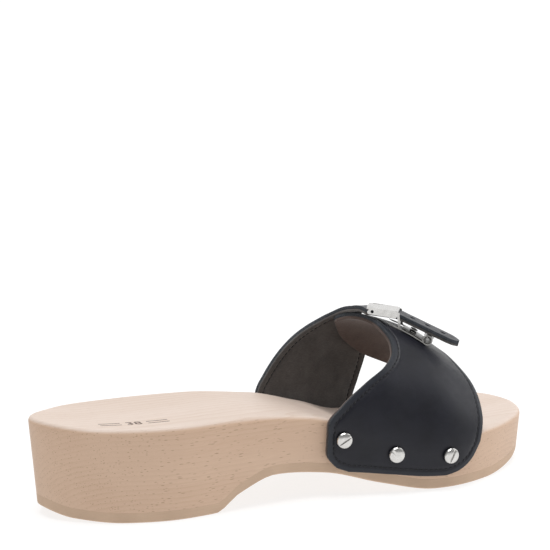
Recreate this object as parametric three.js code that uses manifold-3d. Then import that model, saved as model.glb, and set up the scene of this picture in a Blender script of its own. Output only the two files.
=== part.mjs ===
// A right-foot wooden clog: a beech footbed on a rubber outsole, with two leather straps that are screwed
// to the sides of the wood and meet over the instep in a lever buckle.
//
// Millimetres, +Z up. The origin is on the ground, under the middle of the heel seat. The toe points along
// -Y and the outer (little toe) side is -X. Shoe coordinates are used while shaping: "along" runs from the
// back of the heel to the toe, "across" is positive towards the outer side, and "up" is the height above
// the ground.
import * as THREE from "three";
import { mergeVertices } from "three/addons/utils/BufferGeometryUtils.js";
import Module from "manifold-3d";

const wasm = await Module();
wasm.setup();

// Driving dimensions.
const gap = 0.3; // clearance between neighbouring pieces
const heelSeat = 50; // along, from the back of the heel to the origin
const sideDraft = 0.094; // how far a side wall leans in for each millimetre down
const rubberThickness = 4.5;
const rimRadius = 2.2; // rounded top edge of the footbed
const liningThickness = 0.8;
const leatherThickness = 1.5;
const strapThickness = liningThickness + gap + leatherThickness;
const tongueWidth = 10.6;
const turnBulge = 0.9;
const tongueReach = 42; // from the rear end of the buckle plate to the tip of the tongue
const holePitch = 7;
const plateLength = 14.5;
const plateWidth = 13;
const sheetMetal = 0.9;
const flangeDepth = 3.2;
const pinRadius = 1.5;
const pinBore = 1.05;
const barrelRadius = 2.15;
const eyeRadius = 2.35;
const railDepth = 0.6;
const railClearance = 0.45; // from the outer strap to the lever's side rails
const pinHeight = 3.5; // of the pin's middle above the outer strap
const screwHeadRadius = 3.6;
const screwShankRadius = 1.15;
const screwLength = 9;

// Outline of the footbed's top edge, as [along, across], from the back of the heel round the outer side to
// the toe and back along the inner side.
const outlinePoints = [
  [0, -3], [3.6, 8.8], [11.5, 18.5], [26, 29.2], [49, 36.6], [83, 34.8], [124, 34], [157, 42],
  [184, 46.3], [208, 40],
  [230, 26.8], [243, 13.4], [249, 0], [250, -9], [248, -21], [242, -30.3], [228, -38], [199, -42.4],
  [170, -40.4],
  [141, -31.8], [112, -26.2], [81, -29.7], [49, -30.8], [23, -28.8], [8.5, -19.6], [1.8, -10.8],
];
const toeIndex = 13;

// Heights, as [along, up].
const edgeHeights = [
  [0, 42.4], [20, 40.8], [50, 40.9], [85, 40.5], [115, 37.7], [145, 29.5], [175, 20.9], [205, 23.6],
  [230, 23.6],
  [251, 23.8],
];
const groundHeights = [
  [0, 5.8], [12, 1.4], [30, 0], [70, 0], [82, 7.3], [100, 13.2], [125, 10.9], [150, 4.5], [175, 0], [206, 0],
  [230, 2.2], [251, 9],
];
const dishDepths = [
  [0, 0.4], [22, 2.2], [50, 3], [85, 1.6], [110, 0.6], [140, 1], [170, 2.2], [190, 1.2], [204, -0.6],
  [218, 1.2],
  [240, 1], [251, 0.3],
];
const instepHeights = [
  [112, 77.5], [135, 76], [150, 74], [165, 70.5], [176, 67], [183, 63.8], [190, 59.6], [200, 53], [212, 45],
];
const hemHeights = [[118, 13], [134, 11.6], [152, 9.4], [170, 7.2], [180, 6.8], [200, 7]];

// A smooth line through [x, y] points that never overshoots them (a monotone cubic).
function lineThrough(points) {
  const slope = points.slice(1).map((point, i) => (point[1] - points[i][1]) / (point[0] - points[i][0]));
  const tangent = points.map((_, i) => {
    if (i === 0) return slope[0];
    if (i === points.length - 1) return slope[i - 1];
    if (slope[i - 1] * slope[i] <= 0) return 0;
    return 2 / (1 / slope[i - 1] + 1 / slope[i]);
  });
  return (x) => {
    const last = points.length - 2;
    let i = 0;
    while (i < last && x > points[i + 1][0]) i += 1;
    const width = points[i + 1][0] - points[i][0];
    const t = Math.min(1, Math.max(0, (x - points[i][0]) / width));
    const start =
      points[i][1] * (2 * t ** 3 - 3 * t ** 2 + 1) + tangent[i] * width * (t ** 3 - 2 * t ** 2 + t);
    const end = points[i + 1][1] * (3 * t ** 2 - 2 * t ** 3) + tangent[i + 1] * width * (t ** 3 - t ** 2);
    return start + end;
  };
}

const mix = (a, b, t) => a + (b - a) * t;
const smoothStep = (low, high, x) => THREE.MathUtils.smoothstep(x, low, high);
const edgeUp = lineThrough(edgeHeights);
const groundUp = lineThrough(groundHeights);
const dish = lineThrough(dishDepths);
const instepUp = lineThrough(instepHeights);
const hemUp = lineThrough(hemHeights);

// Shoe coordinates to the object's frame.
function place(along, across, up) {
  return new THREE.Vector3(-across, heelSeat - along, up);
}

// Solids.

function facesOf(geometry) {
  const index = geometry.getIndex().array;
  const faces = [];
  for (let i = 0; i < index.length; i += 3) {
    const face = [index[i], index[i + 1], index[i + 2]];
    if (new Set(face).size === 3) faces.push(face);
  }
  return faces;
}

// Six times the volume that a closed surface encloses: the sum of each triangle's triple product.
function signedVolume(position, faces) {
  const [a, b, c] = [new THREE.Vector3(), new THREE.Vector3(), new THREE.Vector3()];
  let sum = 0;
  for (const face of faces) {
    [a, b, c].forEach((corner, i) => corner.fromBufferAttribute(position, face[i]));
    sum += a.dot(b.cross(c));
  }
  return sum;
}

// A manifold-3d solid from a closed geometry, with its faces turned outward.
function solidFrom(geometry) {
  let bare = geometry.clone();
  bare.deleteAttribute("normal");
  bare.deleteAttribute("uv");
  bare = mergeVertices(bare, 1e-3);
  const faces = facesOf(bare);
  if (signedVolume(bare.getAttribute("position"), faces) < 0) faces.forEach((face) => face.reverse());
  const vertProperties = new Float32Array(bare.getAttribute("position").array);
  const triVerts = new Uint32Array(faces.flat());
  return new wasm.Manifold(new wasm.Mesh({ numProp: 3, vertProperties, triVerts }));
}

function geometryFrom(solid) {
  const mesh = solid.getMesh();
  const geometry = new THREE.BufferGeometry();
  geometry.setAttribute("position", new THREE.BufferAttribute(new Float32Array(mesh.vertProperties), 3));
  geometry.setIndex(new THREE.BufferAttribute(new Uint32Array(mesh.triVerts), 1));
  return geometry;
}

// A closed solid from rows of points: each row is a closed loop, and the first and last rows are folded
// flat into single lines.
function loftSolid(rows) {
  const size = rows[0].length;
  const positions = rows.flat().flatMap((point) => point.toArray());
  const index = [];
  for (let i = 0; i < rows.length - 1; i += 1) {
    for (let j = 0; j < size; j += 1) {
      const next = (j + 1) % size;
      const [a, b, c, d] = [i * size + j, i * size + next, (i + 1) * size + next, (i + 1) * size + j];
      index.push(a, b, c, a, c, d);
    }
  }
  const geometry = new THREE.BufferGeometry();
  geometry.setAttribute("position", new THREE.Float32BufferAttribute(positions, 3));
  geometry.setIndex(index);
  return solidFrom(geometry);
}

// A sheet between two grids of points that have the same rows and columns.
function sheetSolid(innerGrid, outerGrid) {
  const rows = innerGrid.map((inner, i) => [...inner, ...outerGrid[i].slice().reverse()]);
  const columns = innerGrid[0].length;
  const size = columns * 2;
  const positions = rows.flat().flatMap((point) => point.toArray());
  const index = [];
  for (let i = 0; i < rows.length - 1; i += 1) {
    for (let j = 0; j < size; j += 1) {
      const next = (j + 1) % size;
      const [a, b, c, d] = [i * size + j, i * size + next, (i + 1) * size + next, (i + 1) * size + j];
      // Both faces of the sheet are cut along the same diagonals, so neighbouring sheets stay parallel.
      if (j < columns) index.push(a, b, c, a, c, d);
      else index.push(a, b, d, b, c, d);
    }
  }
  for (let j = 0; j < columns - 1; j += 1) {
    const facing = size - 1 - j;
    const end = (rows.length - 1) * size;
    index.push(j, facing, j + 1, j + 1, facing, facing - 1);
    index.push(end + j, end + j + 1, end + facing, end + j + 1, end + facing - 1, end + facing);
  }
  const geometry = new THREE.BufferGeometry();
  geometry.setAttribute("position", new THREE.Float32BufferAttribute(positions, 3));
  geometry.setIndex(index);
  return solidFrom(geometry);
}

// A round bar from one point towards another.
function barSolid(start, direction, length, radius, sides = 16) {
  const geometry = new THREE.CylinderGeometry(radius, radius, length, sides);
  geometry.translate(0, length / 2, 0);
  geometry.applyQuaternion(new THREE.Quaternion().setFromUnitVectors(new THREE.Vector3(0, 1, 0), direction));
  geometry.translate(start.x, start.y, start.z);
  return solidFrom(geometry);
}

// The sole.

const outline = new THREE.CatmullRomCurve3(
  outlinePoints.map(([along, across]) => new THREE.Vector3(along, across, 0)),
  true,
  "centripetal",
);

// A point of the outline moved inward, for a share of the way from heel to toe on the outer (+1) or inner
// (-1) side.
function outlineAt(side, share, inset) {
  const toe = toeIndex / outlinePoints.length;
  const t = side > 0 ? share * toe : 1 - share * (1 - toe);
  const point = outline.getPoint(t % 1);
  const before = outline.getPoint((t - 1e-3 + 1) % 1);
  const tangent = outline.getPoint((t + 1e-3) % 1).sub(before).normalize();
  return [point.x + tangent.y * inset, point.y - tangent.x * inset];
}

// A solid inside the outline, between two heights that depend on where along the shoe they are.
function soleSolid(topUp, bottomUp, rim, hollow) {
  const rowCount = 44;
  const topColumns = 10;
  const bottomColumns = 4;
  const rimAngles = rim > 0 ? [0, Math.PI / 4, Math.PI / 2] : [0];
  const rows = [];
  const wallPoint = (side, share, roundIn, height) => {
    const guess = outlineAt(side, share, 0)[0];
    const inset = roundIn + (edgeUp(guess) - height(guess)) * sideDraft;
    const [along, across] = outlineAt(side, share, inset);
    return [along, across, height(along)];
  };
  for (let i = 0; i <= rowCount; i += 1) {
    const share = i / rowCount;
    const wall = (side) => [
      wallPoint(side, share, 0, bottomUp),
      ...rimAngles.map((angle) =>
        wallPoint(side, share, rim * (1 - Math.cos(angle)), (x) => topUp(x) - rim * (1 - Math.sin(angle)))),
    ];
    const outer = wall(1);
    const inner = wall(-1);
    const between = (from, to, columns, height) => {
      const points = [];
      for (let j = 1; j < columns; j += 1) {
        const t = j / columns;
        const along = mix(from[0], to[0], t);
        points.push([along, mix(from[1], to[1], t), height(along, t)]);
      }
      return points;
    };
    const hollowed = (along, t) => topUp(along) - (hollow ? dish(along) * Math.min(1, 5 * t * (1 - t)) : 0);
    const loop = [
      ...outer,
      ...between(outer.at(-1), inner.at(-1), topColumns, hollowed),
      ...inner.slice().reverse(),
      ...between(inner[0], outer[0], bottomColumns, bottomUp),
    ];
    rows.push(loop.map((point) => place(...point)));
  }
  return loftSolid(rows);
}

// Where the outline is across the shoe at a distance along it, on the outer (+1) or inner (-1) side.
function outlineTable(side) {
  const points = [];
  for (let i = 0; i <= 120; i += 1) {
    const [along, across] = outlineAt(side, i / 120, 0);
    if (points.length === 0 || along > points.at(-1)[0] + 0.2) points.push([along, across]);
  }
  return lineThrough(points);
}
const outerAcross = outlineTable(1);
const innerAcross = outlineTable(-1);

// The straps.
//
// Both straps lie on one arch over the foot. A point on it has a distance along the shoe and a turn: 0 is
// on the footbed's outer top edge, pi on its inner one, -1 and pi + 1 are the hems on the side walls below
// them.

const wallGap = 0.5; // from the side of the footbed to the lining
const tuck = 3; // how far below the footbed's edge the arch starts to lean in
const outerFullness = 1.95; // exponent of the superellipse on each side: 2 is an ellipse, more is boxier
const innerFullness = 2.4;
const crownShift = -2; // the arch leans towards the inner side

function archPoint(along, turn) {
  const outer = outerAcross(along) + wallGap;
  const inner = innerAcross(along) - wallGap;
  const base = edgeUp(along) - tuck;
  if (turn < 0 || turn > Math.PI) {
    const depth = (turn < 0 ? -turn : turn - Math.PI) * (base - hemUp(along));
    const lean = (depth + tuck) * sideDraft;
    return place(along, turn < 0 ? outer - lean : inner + lean, base - depth);
  }
  const power = 2 / (turn < Math.PI / 2 ? outerFullness : innerFullness);
  const reach = Math.sign(Math.cos(turn)) * Math.abs(Math.cos(turn)) ** power;
  const middle = (outer + inner) / 2;
  const half = (outer - inner) / 2 - tuck * sideDraft;
  const rise = Math.sin(turn) ** power;
  const across = middle + half * reach + crownShift * Math.sin(turn) ** 2;
  return place(along, across, base + (instepUp(along) - base) * rise);
}

// The arch moved outward along its own normal.
function arch(along, turn, offset) {
  const step = 0.01;
  const turning = archPoint(along, turn + step).sub(archPoint(along, turn - step));
  const forward = archPoint(along + 0.5, turn).sub(archPoint(along - 0.5, turn));
  const normal = forward.cross(turning).normalize();
  const outward = new THREE.Vector3(-Math.cos(turn), 0, Math.max(0, Math.sin(turn)));
  if (normal.dot(outward) < 0) normal.negate();
  return { point: archPoint(along, turn).addScaledVector(normal, offset), normal };
}

// The arch straight above or below a place on the shoe.
function archOver(along, across, offset) {
  let low = 0;
  let high = Math.PI;
  for (let i = 0; i < 30; i += 1) {
    const middle = (low + high) / 2;
    if (-arch(along, middle, offset).point.x > across) low = middle;
    else high = middle;
  }
  return arch(along, (low + high) / 2, offset);
}

// Edges of the outer strap, as [turn, along].
const outerRear = lineThrough([
  [-1, 134], [-0.9, 128], [-0.6, 123.6], [0, 123.6], [0.24, 131.1], [0.5, 143.3], [0.73, 155.6], [0.9, 161.3],
  [1.1, 163.6], [1.5, 163.2], [2, 160],
]);
const outerFront = lineThrough([
  [-1, 178], [-0.85, 185], [-0.5, 191.5], [0, 196], [0.3, 199.2], [0.7, 200.5], [1.1, 198.5],
  [1.6, 198.5], [2, 202], [2.5, 204.5],
]);
// The end of the outer strap under the inner one, as [along, turn].
const tabEnd = lineThrough([[159, 2], [168, 2.27], [175, 2.39], [188, 2.5], [205, 2.53]]);

// How far the inner strap is lifted off the arch, where the outer strap lies under it.
function lift(along, turn) {
  const end = along < 159 ? 2 : tabEnd(along);
  return (strapThickness + gap) * smoothStep(0, 0.8, end + 0.9 - turn);
}

const outerTurns = [
  -1, -0.96, -0.9, -0.8, -0.62, -0.4, -0.18, 0, 0.1, 0.2, 0.32, 0.44, 0.56, 0.68, 0.8, 0.9, 1, 1.1, 1.2,
  1.32, 1.45,
  1.6, 1.75, 1.88, 2,
];

// The outer strap between two offsets from the arch. Past the last full row the strap's end slants forward,
// so its last rows run from the rear corner to the slanted end.
function outerStrapSolid(low, high) {
  const columns = 9;
  const grid = (offset) => {
    const rows = outerTurns.map((turn) => {
      const row = [];
      for (let i = 0; i <= columns; i += 1) {
        row.push([mix(outerRear(turn), outerFront(turn), i / columns), turn]);
      }
      return row;
    });
    for (const share of [0.34, 0.67, 1]) {
      const last = rows[outerTurns.length - 1];
      rows.push(last.map(([along, turn]) => [along, mix(turn, tabEnd(along) + 0.02, share)]));
    }
    return rows.map((row) => row.map(([along, turn]) => arch(along, turn, offset).point));
  };
  return sheetSolid(grid(low), grid(high));
}

// The buckle's own directions: "run" goes along the tongue, forward and outward, from the rear end of the
// plate, and "side" is across it, positive towards the inner front.
const buckleHeading = THREE.MathUtils.degToRad(38);
const plateStart = { along: 164.9, across: 1.2 };

function overBuckle(run, side) {
  return {
    along: plateStart.along + run * Math.cos(buckleHeading) + side * Math.sin(buckleHeading),
    across: plateStart.across + run * Math.sin(buckleHeading) - side * Math.cos(buckleHeading),
  };
}

function buckleArch(run, side, offset) {
  const { along, across } = overBuckle(run, side);
  return archOver(along, across, offset);
}

// Top of the tongue above the ground, as [run, up].
const tongueTop = lineThrough([
  [-4, 77], [0, 76.9], [7, 76.2], [14.5, 75.2], [20, 72.9], [30, 68.3], [42, 62.8],
]);

// Edges of the inner strap from its hem to the buckle, as pairs of [along, turn] at its rear and front
// edges.
const innerRear = [
  [136, Math.PI + 1], [131, Math.PI + 0.95], [126, Math.PI + 0.75], [123, Math.PI + 0.4],
  [122.8, Math.PI], [128.3, 2.93], [134.8, 2.72], [143, 2.5], [150.3, 2.34], [156, 2.2], [159.5, 2.05],
  [160.5, 1.88], [160.6, 1.72],
];
const innerFront = [
  [172, Math.PI + 1], [178, Math.PI + 0.95], [181.5, Math.PI + 0.75], [182, Math.PI + 0.4],
  [182.8, Math.PI], [187.4, 2.88], [189, 2.66], [187.8, 2.47], [184, 2.31], [180, 2.17], [175.5, 2.03],
  [171.5, 1.9], [168.7, 1.8],
];

// A smooth line through an edge's [along, turn] points, from 0 at the hem to 1 at the buckle.
function innerEdge(points) {
  const turnScale = 30; // makes a turn count about as much as a distance along the shoe
  const spots = points.map(([along, turn]) => new THREE.Vector3(along, turn * turnScale, 0));
  const curve = new THREE.CatmullRomCurve3(spots);
  return (share) => {
    const point = curve.getPoint(share);
    return [point.x, point.y / turnScale];
  };
}

// The inner strap between two heights above its own underside. The rows follow the arch up to the buckle
// and the tongue's own line from there on.
function innerStrapSolid(low, high) {
  const columns = 7;
  const grid = (height) => {
    const rows = [];
    const archRows = 34;
    for (let i = 0; i <= archRows; i += 1) {
      const [rearAlong, rearTurn] = innerEdge(innerRear)(i / archRows);
      const [frontAlong, frontTurn] = innerEdge(innerFront)(i / archRows);
      const row = [];
      for (let j = 0; j <= columns; j += 1) {
        const along = mix(rearAlong, frontAlong, j / columns);
        const turn = mix(rearTurn, frontTurn, j / columns);
        row.push(arch(along, turn, lift(along, turn) + height).point);
      }
      rows.push(row);
    }
    const joining = rows.length;
    const runs = [0, 3.5, 7, 11, 15, 18, 21, 25, 29, 33, 36, 38, 39.5, 40.6, 41.5, tongueReach];
    for (const run of runs) {
      const tip = Math.max(0, (run - (tongueReach - 6)) / 6);
      const half = (tongueWidth / 2) * (tip > 0 ? Math.sqrt(Math.max(0.12, 1 - tip ** 2.6)) : 1);
      const slope = (tongueTop(run + 0.5) - tongueTop(run - 0.5));
      const row = [];
      for (let j = 0; j <= columns; j += 1) {
        const side = mix(-half, half, j / columns);
        const drop = strapThickness - height;
        const { along, across } = overBuckle(run + drop * slope, side);
        row.push(place(along, across, tongueTop(run) - drop));
      }
      rows.push(row);
    }
    // Between the arch and the tongue the strap bulges a little as it turns forward.
    const between = [0.25, 0.5, 0.75].map((share) => rows[joining - 1].map((point, j) => {
      const middle = point.clone().lerp(rows[joining][j], share);
      middle.z += turnBulge * Math.sin(Math.PI * share);
      return middle;
    }));
    rows.splice(joining, 0, ...between);
    return rows;
  };
  return sheetSolid(grid(low), grid(high));
}

// Screws.

// The foot of a screw on a side wall: a point on the arch's wall and the outward normal there.
function wallSpot(side, along, up) {
  const base = edgeUp(along) - tuck;
  const depth = (base - up) / (base - hemUp(along));
  return arch(along, side > 0 ? -depth : Math.PI + depth, 0);
}

const screwSpots = [
  ["outer_screw_rear", 1, 131, 26.6, 0.5], ["outer_screw_middle", 1, 154.4, 18.6, -0.9],
  ["outer_screw_front", 1, 179.2, 16.3, 1.1], ["inner_screw_rear", -1, 131.5, 25.5, 0.2],
  ["inner_screw_middle", -1, 151, 19.5, 1.3], ["inner_screw_front", -1, 173.5, 16.2, -0.5],
].map(([name, side, along, up, slotTurn]) => ({ name, slotTurn, ...wallSpot(side, along, up) }));

// A domed screw: a cylindrical rim under a shallow dome, a slot across it and a pointed shank. It is built
// along +Y, with y = 0 at the underside of the head.
function screwSolid() {
  const profile = [new THREE.Vector2(0, -screwLength - 2), new THREE.Vector2(screwShankRadius, -screwLength)];
  profile.push(new THREE.Vector2(screwShankRadius, 0), new THREE.Vector2(screwHeadRadius, 0));
  profile.push(new THREE.Vector2(screwHeadRadius, 1));
  for (let i = 1; i <= 4; i += 1) {
    const angle = (i / 4) * (Math.PI / 2);
    const radius = i === 4 ? 0 : screwHeadRadius * Math.cos(angle);
    profile.push(new THREE.Vector2(radius, 1 + 1.2 * Math.sin(angle)));
  }
  const slot = new THREE.BoxGeometry(2 * screwHeadRadius + 2, 1.6, 0.9);
  slot.translate(0, 2.2, 0);
  return solidFrom(new THREE.LatheGeometry(profile, 20)).subtract(solidFrom(slot));
}

function screwHole({ point, normal }) {
  const start = point.clone().addScaledVector(normal, strapThickness + 2);
  const length = strapThickness + 4 + gap + screwLength;
  return barSolid(start, normal.clone().negate(), length, screwShankRadius + gap);
}

// The buckle.

const pinRun = plateLength + 13.4;

// Height of the outer strap's face straight below a place on the buckle. The arch's normal leans forward
// there, so the distance along is corrected by how far the found point is off.
function strapUp(run, side) {
  const { along, across } = overBuckle(run, side);
  let shift = 0;
  let { point } = archOver(along, across, strapThickness);
  for (let i = 0; i < 4; i += 1) {
    shift += heelSeat - point.y - along;
    point = archOver(along - shift, across, strapThickness).point;
  }
  return point.z;
}

const outerFace = strapThickness; // the outer face of the outer strap, above the arch
const strapUnderPin = Math.max(...[-6, 0, 6].map((side) => buckleArch(pinRun, side, outerFace).point.z));
const pinUp = strapUnderPin + pinHeight;
const plateRearUp = tongueTop(0) + gap + sheetMetal;
const plateFrontUp = tongueTop(plateLength) + gap + sheetMetal;

// The buckle's frame: +X along the run, +Y towards the inner front, +Z up, origin at the middle of the pin.
function buckleMatrix() {
  const start = overBuckle(pinRun, 0);
  const ahead = overBuckle(pinRun + 1, 0);
  const beside = overBuckle(pinRun, 1);
  const origin = place(start.along, start.across, pinUp);
  const xAxis = place(ahead.along, ahead.across, pinUp).sub(origin);
  const yAxis = place(beside.along, beside.across, pinUp).sub(origin);
  return new THREE.Matrix4().makeBasis(xAxis, yAxis, new THREE.Vector3(0, 0, 1)).setPosition(origin);
}
const buckleFrame = buckleMatrix();

// A flat shape drawn in the buckle's X and Z, given a thickness across it.
function sidePlate(shape, fromSide, toSide) {
  const depth = toSide - fromSide;
  const geometry = new THREE.ExtrudeGeometry(shape, { depth, bevelEnabled: false, curveSegments: 6 });
  geometry.rotateX(Math.PI / 2);
  geometry.translate(0, toSide, 0);
  return solidFrom(geometry);
}

function crossBar(radius, length, x = 0, z = 0, sides = 20) {
  const geometry = new THREE.CylinderGeometry(radius, radius, length, sides);
  geometry.translate(x, 0, z);
  return solidFrom(geometry);
}

// The run of the peg that holds the tongue, and the way it leaves the hole as the lever opens: square to
// the line from the pin.
const pegRun = 6.5;
const pegRadius = 0.9;
const railStart = 9; // run where the rails begin
const pegTop = new THREE.Vector3(pegRun - pinRun, 0, tongueTop(pegRun) + gap - pinUp + 0.2);
const pegWay = new THREE.Vector3(-pegTop.z, 0, pegTop.x).normalize();

// The flange down a side of the plate, with its lower rear corner cut off.
function flangeShape(rear, front, rearUp, frontUp) {
  const shape = new THREE.Shape();
  shape.moveTo(rear + 1.8, rearUp - 0.1);
  shape.lineTo(front - 0.5, frontUp - 0.1);
  shape.lineTo(front + 0.4, frontUp - 1.4);
  shape.lineTo(front - 1.2, frontUp - flangeDepth);
  shape.lineTo(rear + 1.4, rearUp - flangeDepth);
  shape.quadraticCurveTo(rear + 0.3, rearUp - flangeDepth, rear + 0.3, rearUp - flangeDepth + 1.2);
  return shape;
}

// The rail along a side: a post down from the plate's front end and a narrow strip that follows the outer
// strap from under the flange to the eye.
function railShape(front, frontUp, side) {
  const inward = side - Math.sign(side) * sheetMetal;
  const over = (x) => {
    const heights = [side, inward].map((spot) => strapUp(x + pinRun, spot));
    return Math.max(...heights) - pinUp + railClearance;
  };
  const spots = [];
  for (let i = 0; i <= 8; i += 1) spots.push(mix(railStart - pinRun, -2.2, i / 8));
  const shape = new THREE.Shape();
  spots.forEach((x, i) => (i === 0 ? shape.moveTo(x + 0.8, over(x)) : shape.lineTo(x, over(x))));
  shape.lineTo(0.4, -eyeRadius + 0.1);
  shape.lineTo(-1, 0.8);
  spots.slice().reverse().filter((x) => x > front + 1.6).forEach((x) => shape.lineTo(x, over(x) + railDepth));
  shape.lineTo(front + 1.1, over(front + 1.1) + railDepth);
  shape.lineTo(front + 0.6, frontUp - 0.8);
  shape.lineTo(front - 0.6, frontUp - 0.4);
  shape.lineTo(front, over(front) + railDepth);
  spots.slice().reverse().filter((x) => x < front - 0.6).forEach((x) => shape.lineTo(x, over(x) + railDepth));
  return shape;
}

// The lever: a plate over the tongue with a flange down each side, a rail on each side down to an eye round
// the pin, and the peg under the plate.
function leverSolid() {
  const rear = -pinRun;
  const front = plateLength - pinRun;
  const rearUp = plateRearUp - pinUp;
  const frontUp = plateFrontUp - pinUp;
  const tilt = Math.atan2(frontUp - rearUp, plateLength);
  const corner = 1.8; // of the plate
  const half = plateWidth / 2;
  const plate = new THREE.Shape();
  plate.moveTo(corner, -half);
  plate.lineTo(plateLength - corner, -half);
  plate.quadraticCurveTo(plateLength, -half, plateLength, -half + corner);
  plate.lineTo(plateLength, half - corner);
  plate.quadraticCurveTo(plateLength, half, plateLength - corner, half);
  plate.lineTo(corner, half);
  plate.quadraticCurveTo(0, half, 0, half - corner);
  plate.lineTo(0, -half + corner);
  plate.quadraticCurveTo(0, -half, corner, -half);
  const sheet = { depth: sheetMetal, bevelEnabled: false, curveSegments: 4 };
  const topPlate = new THREE.ExtrudeGeometry(plate, sheet);
  topPlate.translate(0, 0, -sheetMetal);
  topPlate.rotateY(-tilt);
  topPlate.translate(rear, 0, rearUp);
  let lever = solidFrom(topPlate);

  for (const sign of [-1, 1]) {
    const low = sign > 0 ? half - sheetMetal : -half;
    const eye = new THREE.CylinderGeometry(eyeRadius, eyeRadius, sheetMetal, 24);
    eye.translate(0, low + sheetMetal / 2, 0);
    for (const shape of [flangeShape(rear, front, rearUp, frontUp), railShape(front, frontUp, sign * half)]) {
      lever = lever.add(sidePlate(shape, low, low + sheetMetal));
    }
    lever = lever.add(solidFrom(eye));
  }
  lever = lever.subtract(crossBar(pinRadius + gap, plateWidth + 4));
  lever = lever.subtract(crossBar(0.75, 8, rear + 2.6, rearUp - 2, 12).translate([0, -half, 0]));
  return lever.add(barSolid(pegTop.clone().addScaledVector(pegWay, -0.2), pegWay, 2.9, pegRadius, 14));
}

// The pin is a tube, open at both ends.
function pinSolid() {
  const length = plateWidth + 0.8;
  return crossBar(pinRadius, length).subtract(crossBar(pinBore, length + 2));
}

// The base plate follows the outer strap under the tongue and rolls up into the barrel that holds the pin.
const baseRuns = [15.5, 17.5, 19.5, 21.5, 23.5, 24.6];
const baseHalf = tongueWidth / 2;

function basePlateSolid() {
  const sides = [-1, -0.5, 0, 0.5, 1].map((share) => share * baseHalf);
  const toBuckle = buckleFrame.clone().invert();
  const grid = (offset) =>
    baseRuns.map((run) =>
      sides.map((side) => buckleArch(run, side, offset).point.applyMatrix4(toBuckle).setY(side)));
  const low = grid(outerFace + gap);
  const high = grid(outerFace + gap + sheetMetal);
  // The last row reaches the side of the barrel.
  low.push(sides.map((side) => new THREE.Vector3(-1.9, side, -0.8)));
  high.push(sides.map((side) => new THREE.Vector3(-1.8, side, 0.4)));
  const barrel = crossBar(barrelRadius, 2 * baseHalf, 0, 0, 24);
  return sheetSolid(low, high).add(barrel).subtract(crossBar(pinRadius + gap, 2 * baseHalf + 4));
}

const rivetSpots = [
  ["buckle_rivet_outer", "buckle_rivet_washer_outer", -2.9],
  ["buckle_rivet_inner", "buckle_rivet_washer_inner", 2.9],
].map(([name, washerName, side]) => ({ name, washerName, ...buckleArch(19, side, 0) }));
const rivetRadius = 0.9;

// A rivet along +Y, with y = 0 on the arch's surface: a low head over the base plate, a shank through the
// strap, and a spread end under the washer.
function rivetSolid() {
  const headFoot = strapThickness + gap + sheetMetal + gap;
  const points = [
    [0, -1.5], [1.1, -1.4], [1.4, -1.1], [rivetRadius, -1], [rivetRadius, headFoot], [1.9, headFoot],
    [1.8, headFoot + 0.4], [1.1, headFoot + 0.7], [0, headFoot + 0.8],
  ];
  return solidFrom(new THREE.LatheGeometry(points.map(([x, y]) => new THREE.Vector2(x, y)), 14));
}

function washerSolid() {
  const hole = rivetRadius + 0.2;
  const points = [[hole, -0.7], [2.4, -0.7], [2.4, -gap], [hole, -gap], [hole, -0.7]];
  return solidFrom(new THREE.LatheGeometry(points.map(([x, y]) => new THREE.Vector2(x, y)), 16));
}

function rivetHole({ point, normal }) {
  return barSolid(point.clone().addScaledVector(normal, -2), normal, 8, rivetRadius + gap, 14);
}

// Threads: one round line of thread along each strap's edge, lying just off the leather.
const threadRadius = 0.3;
const threadInset = 3.4;

function threadSolid(path, steps) {
  const section = new THREE.Shape();
  const sides = 5;
  for (let i = 0; i < sides; i += 1) {
    const angle = (i / sides) * Math.PI * 2;
    if (i === 0) section.moveTo(threadRadius, 0);
    else section.lineTo(threadRadius * Math.cos(angle), threadRadius * Math.sin(angle));
  }
  const extrudePath = new THREE.CatmullRomCurve3(path, false, "centripetal");
  return solidFrom(new THREE.ExtrudeGeometry(section, { steps, bevelEnabled: false, extrudePath }));
}

function outerThread() {
  const height = strapThickness + gap + threadRadius;
  const path = [];
  for (let turn = 1.05; turn > -0.6; turn -= 0.1) path.push([outerRear(turn) + threadInset, turn]);
  for (const share of [0.08, 0.3, 0.5, 0.7, 0.92]) {
    path.push([mix(outerRear(-0.9), outerFront(-0.9), share), -0.78]);
  }
  for (let turn = -0.55; turn < 2.3; turn += 0.1) path.push([outerFront(turn) - threadInset, turn]);
  return threadSolid(path.map(([along, turn]) => arch(along, turn, height).point), 90);
}

function innerThread() {
  const height = strapThickness + gap + threadRadius;
  const [rear, front] = [innerEdge(innerRear), innerEdge(innerFront)];
  const path = [];
  for (let share = 0.84; share > 0.17; share -= 0.03) {
    path.push([rear(share)[0] + threadInset, rear(share)[1]]);
  }
  path.push([141, Math.PI + 0.8], [155, Math.PI + 0.8], [168, Math.PI + 0.8]);
  for (let share = 0.17; share < 0.72; share += 0.03) {
    path.push([front(share)[0] - threadInset, front(share)[1]]);
  }
  return threadSolid(path.map(([along, turn]) => arch(along, turn, lift(along, turn) + height).point), 80);
}

// Holes punched through the tongue. The peg's own hole follows the peg's way out.
function tongueHoles() {
  const holes = [];
  const toFrame = (x, side, z) => new THREE.Vector3(x - pinRun, side, z - pinUp).applyMatrix4(buckleFrame);
  const way = pegWay.clone().transformDirection(buckleFrame);
  const top = pegTop.clone().applyMatrix4(buckleFrame);
  holes.push(barSolid(top.addScaledVector(way, -3), way, 9, pegRadius + 0.65, 16));
  for (const step of [2, 3, 4]) {
    const run = pegRun + step * holePitch;
    const slope = tongueTop(run + 0.5) - tongueTop(run - 0.5);
    const down = new THREE.Vector3(-slope, 0, 1).normalize().negate().transformDirection(buckleFrame);
    holes.push(barSolid(toFrame(run, 0, tongueTop(run)).addScaledVector(down, -2), down, 7, 1.4, 14));
  }
  return holes;
}

// Assembly.

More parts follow.
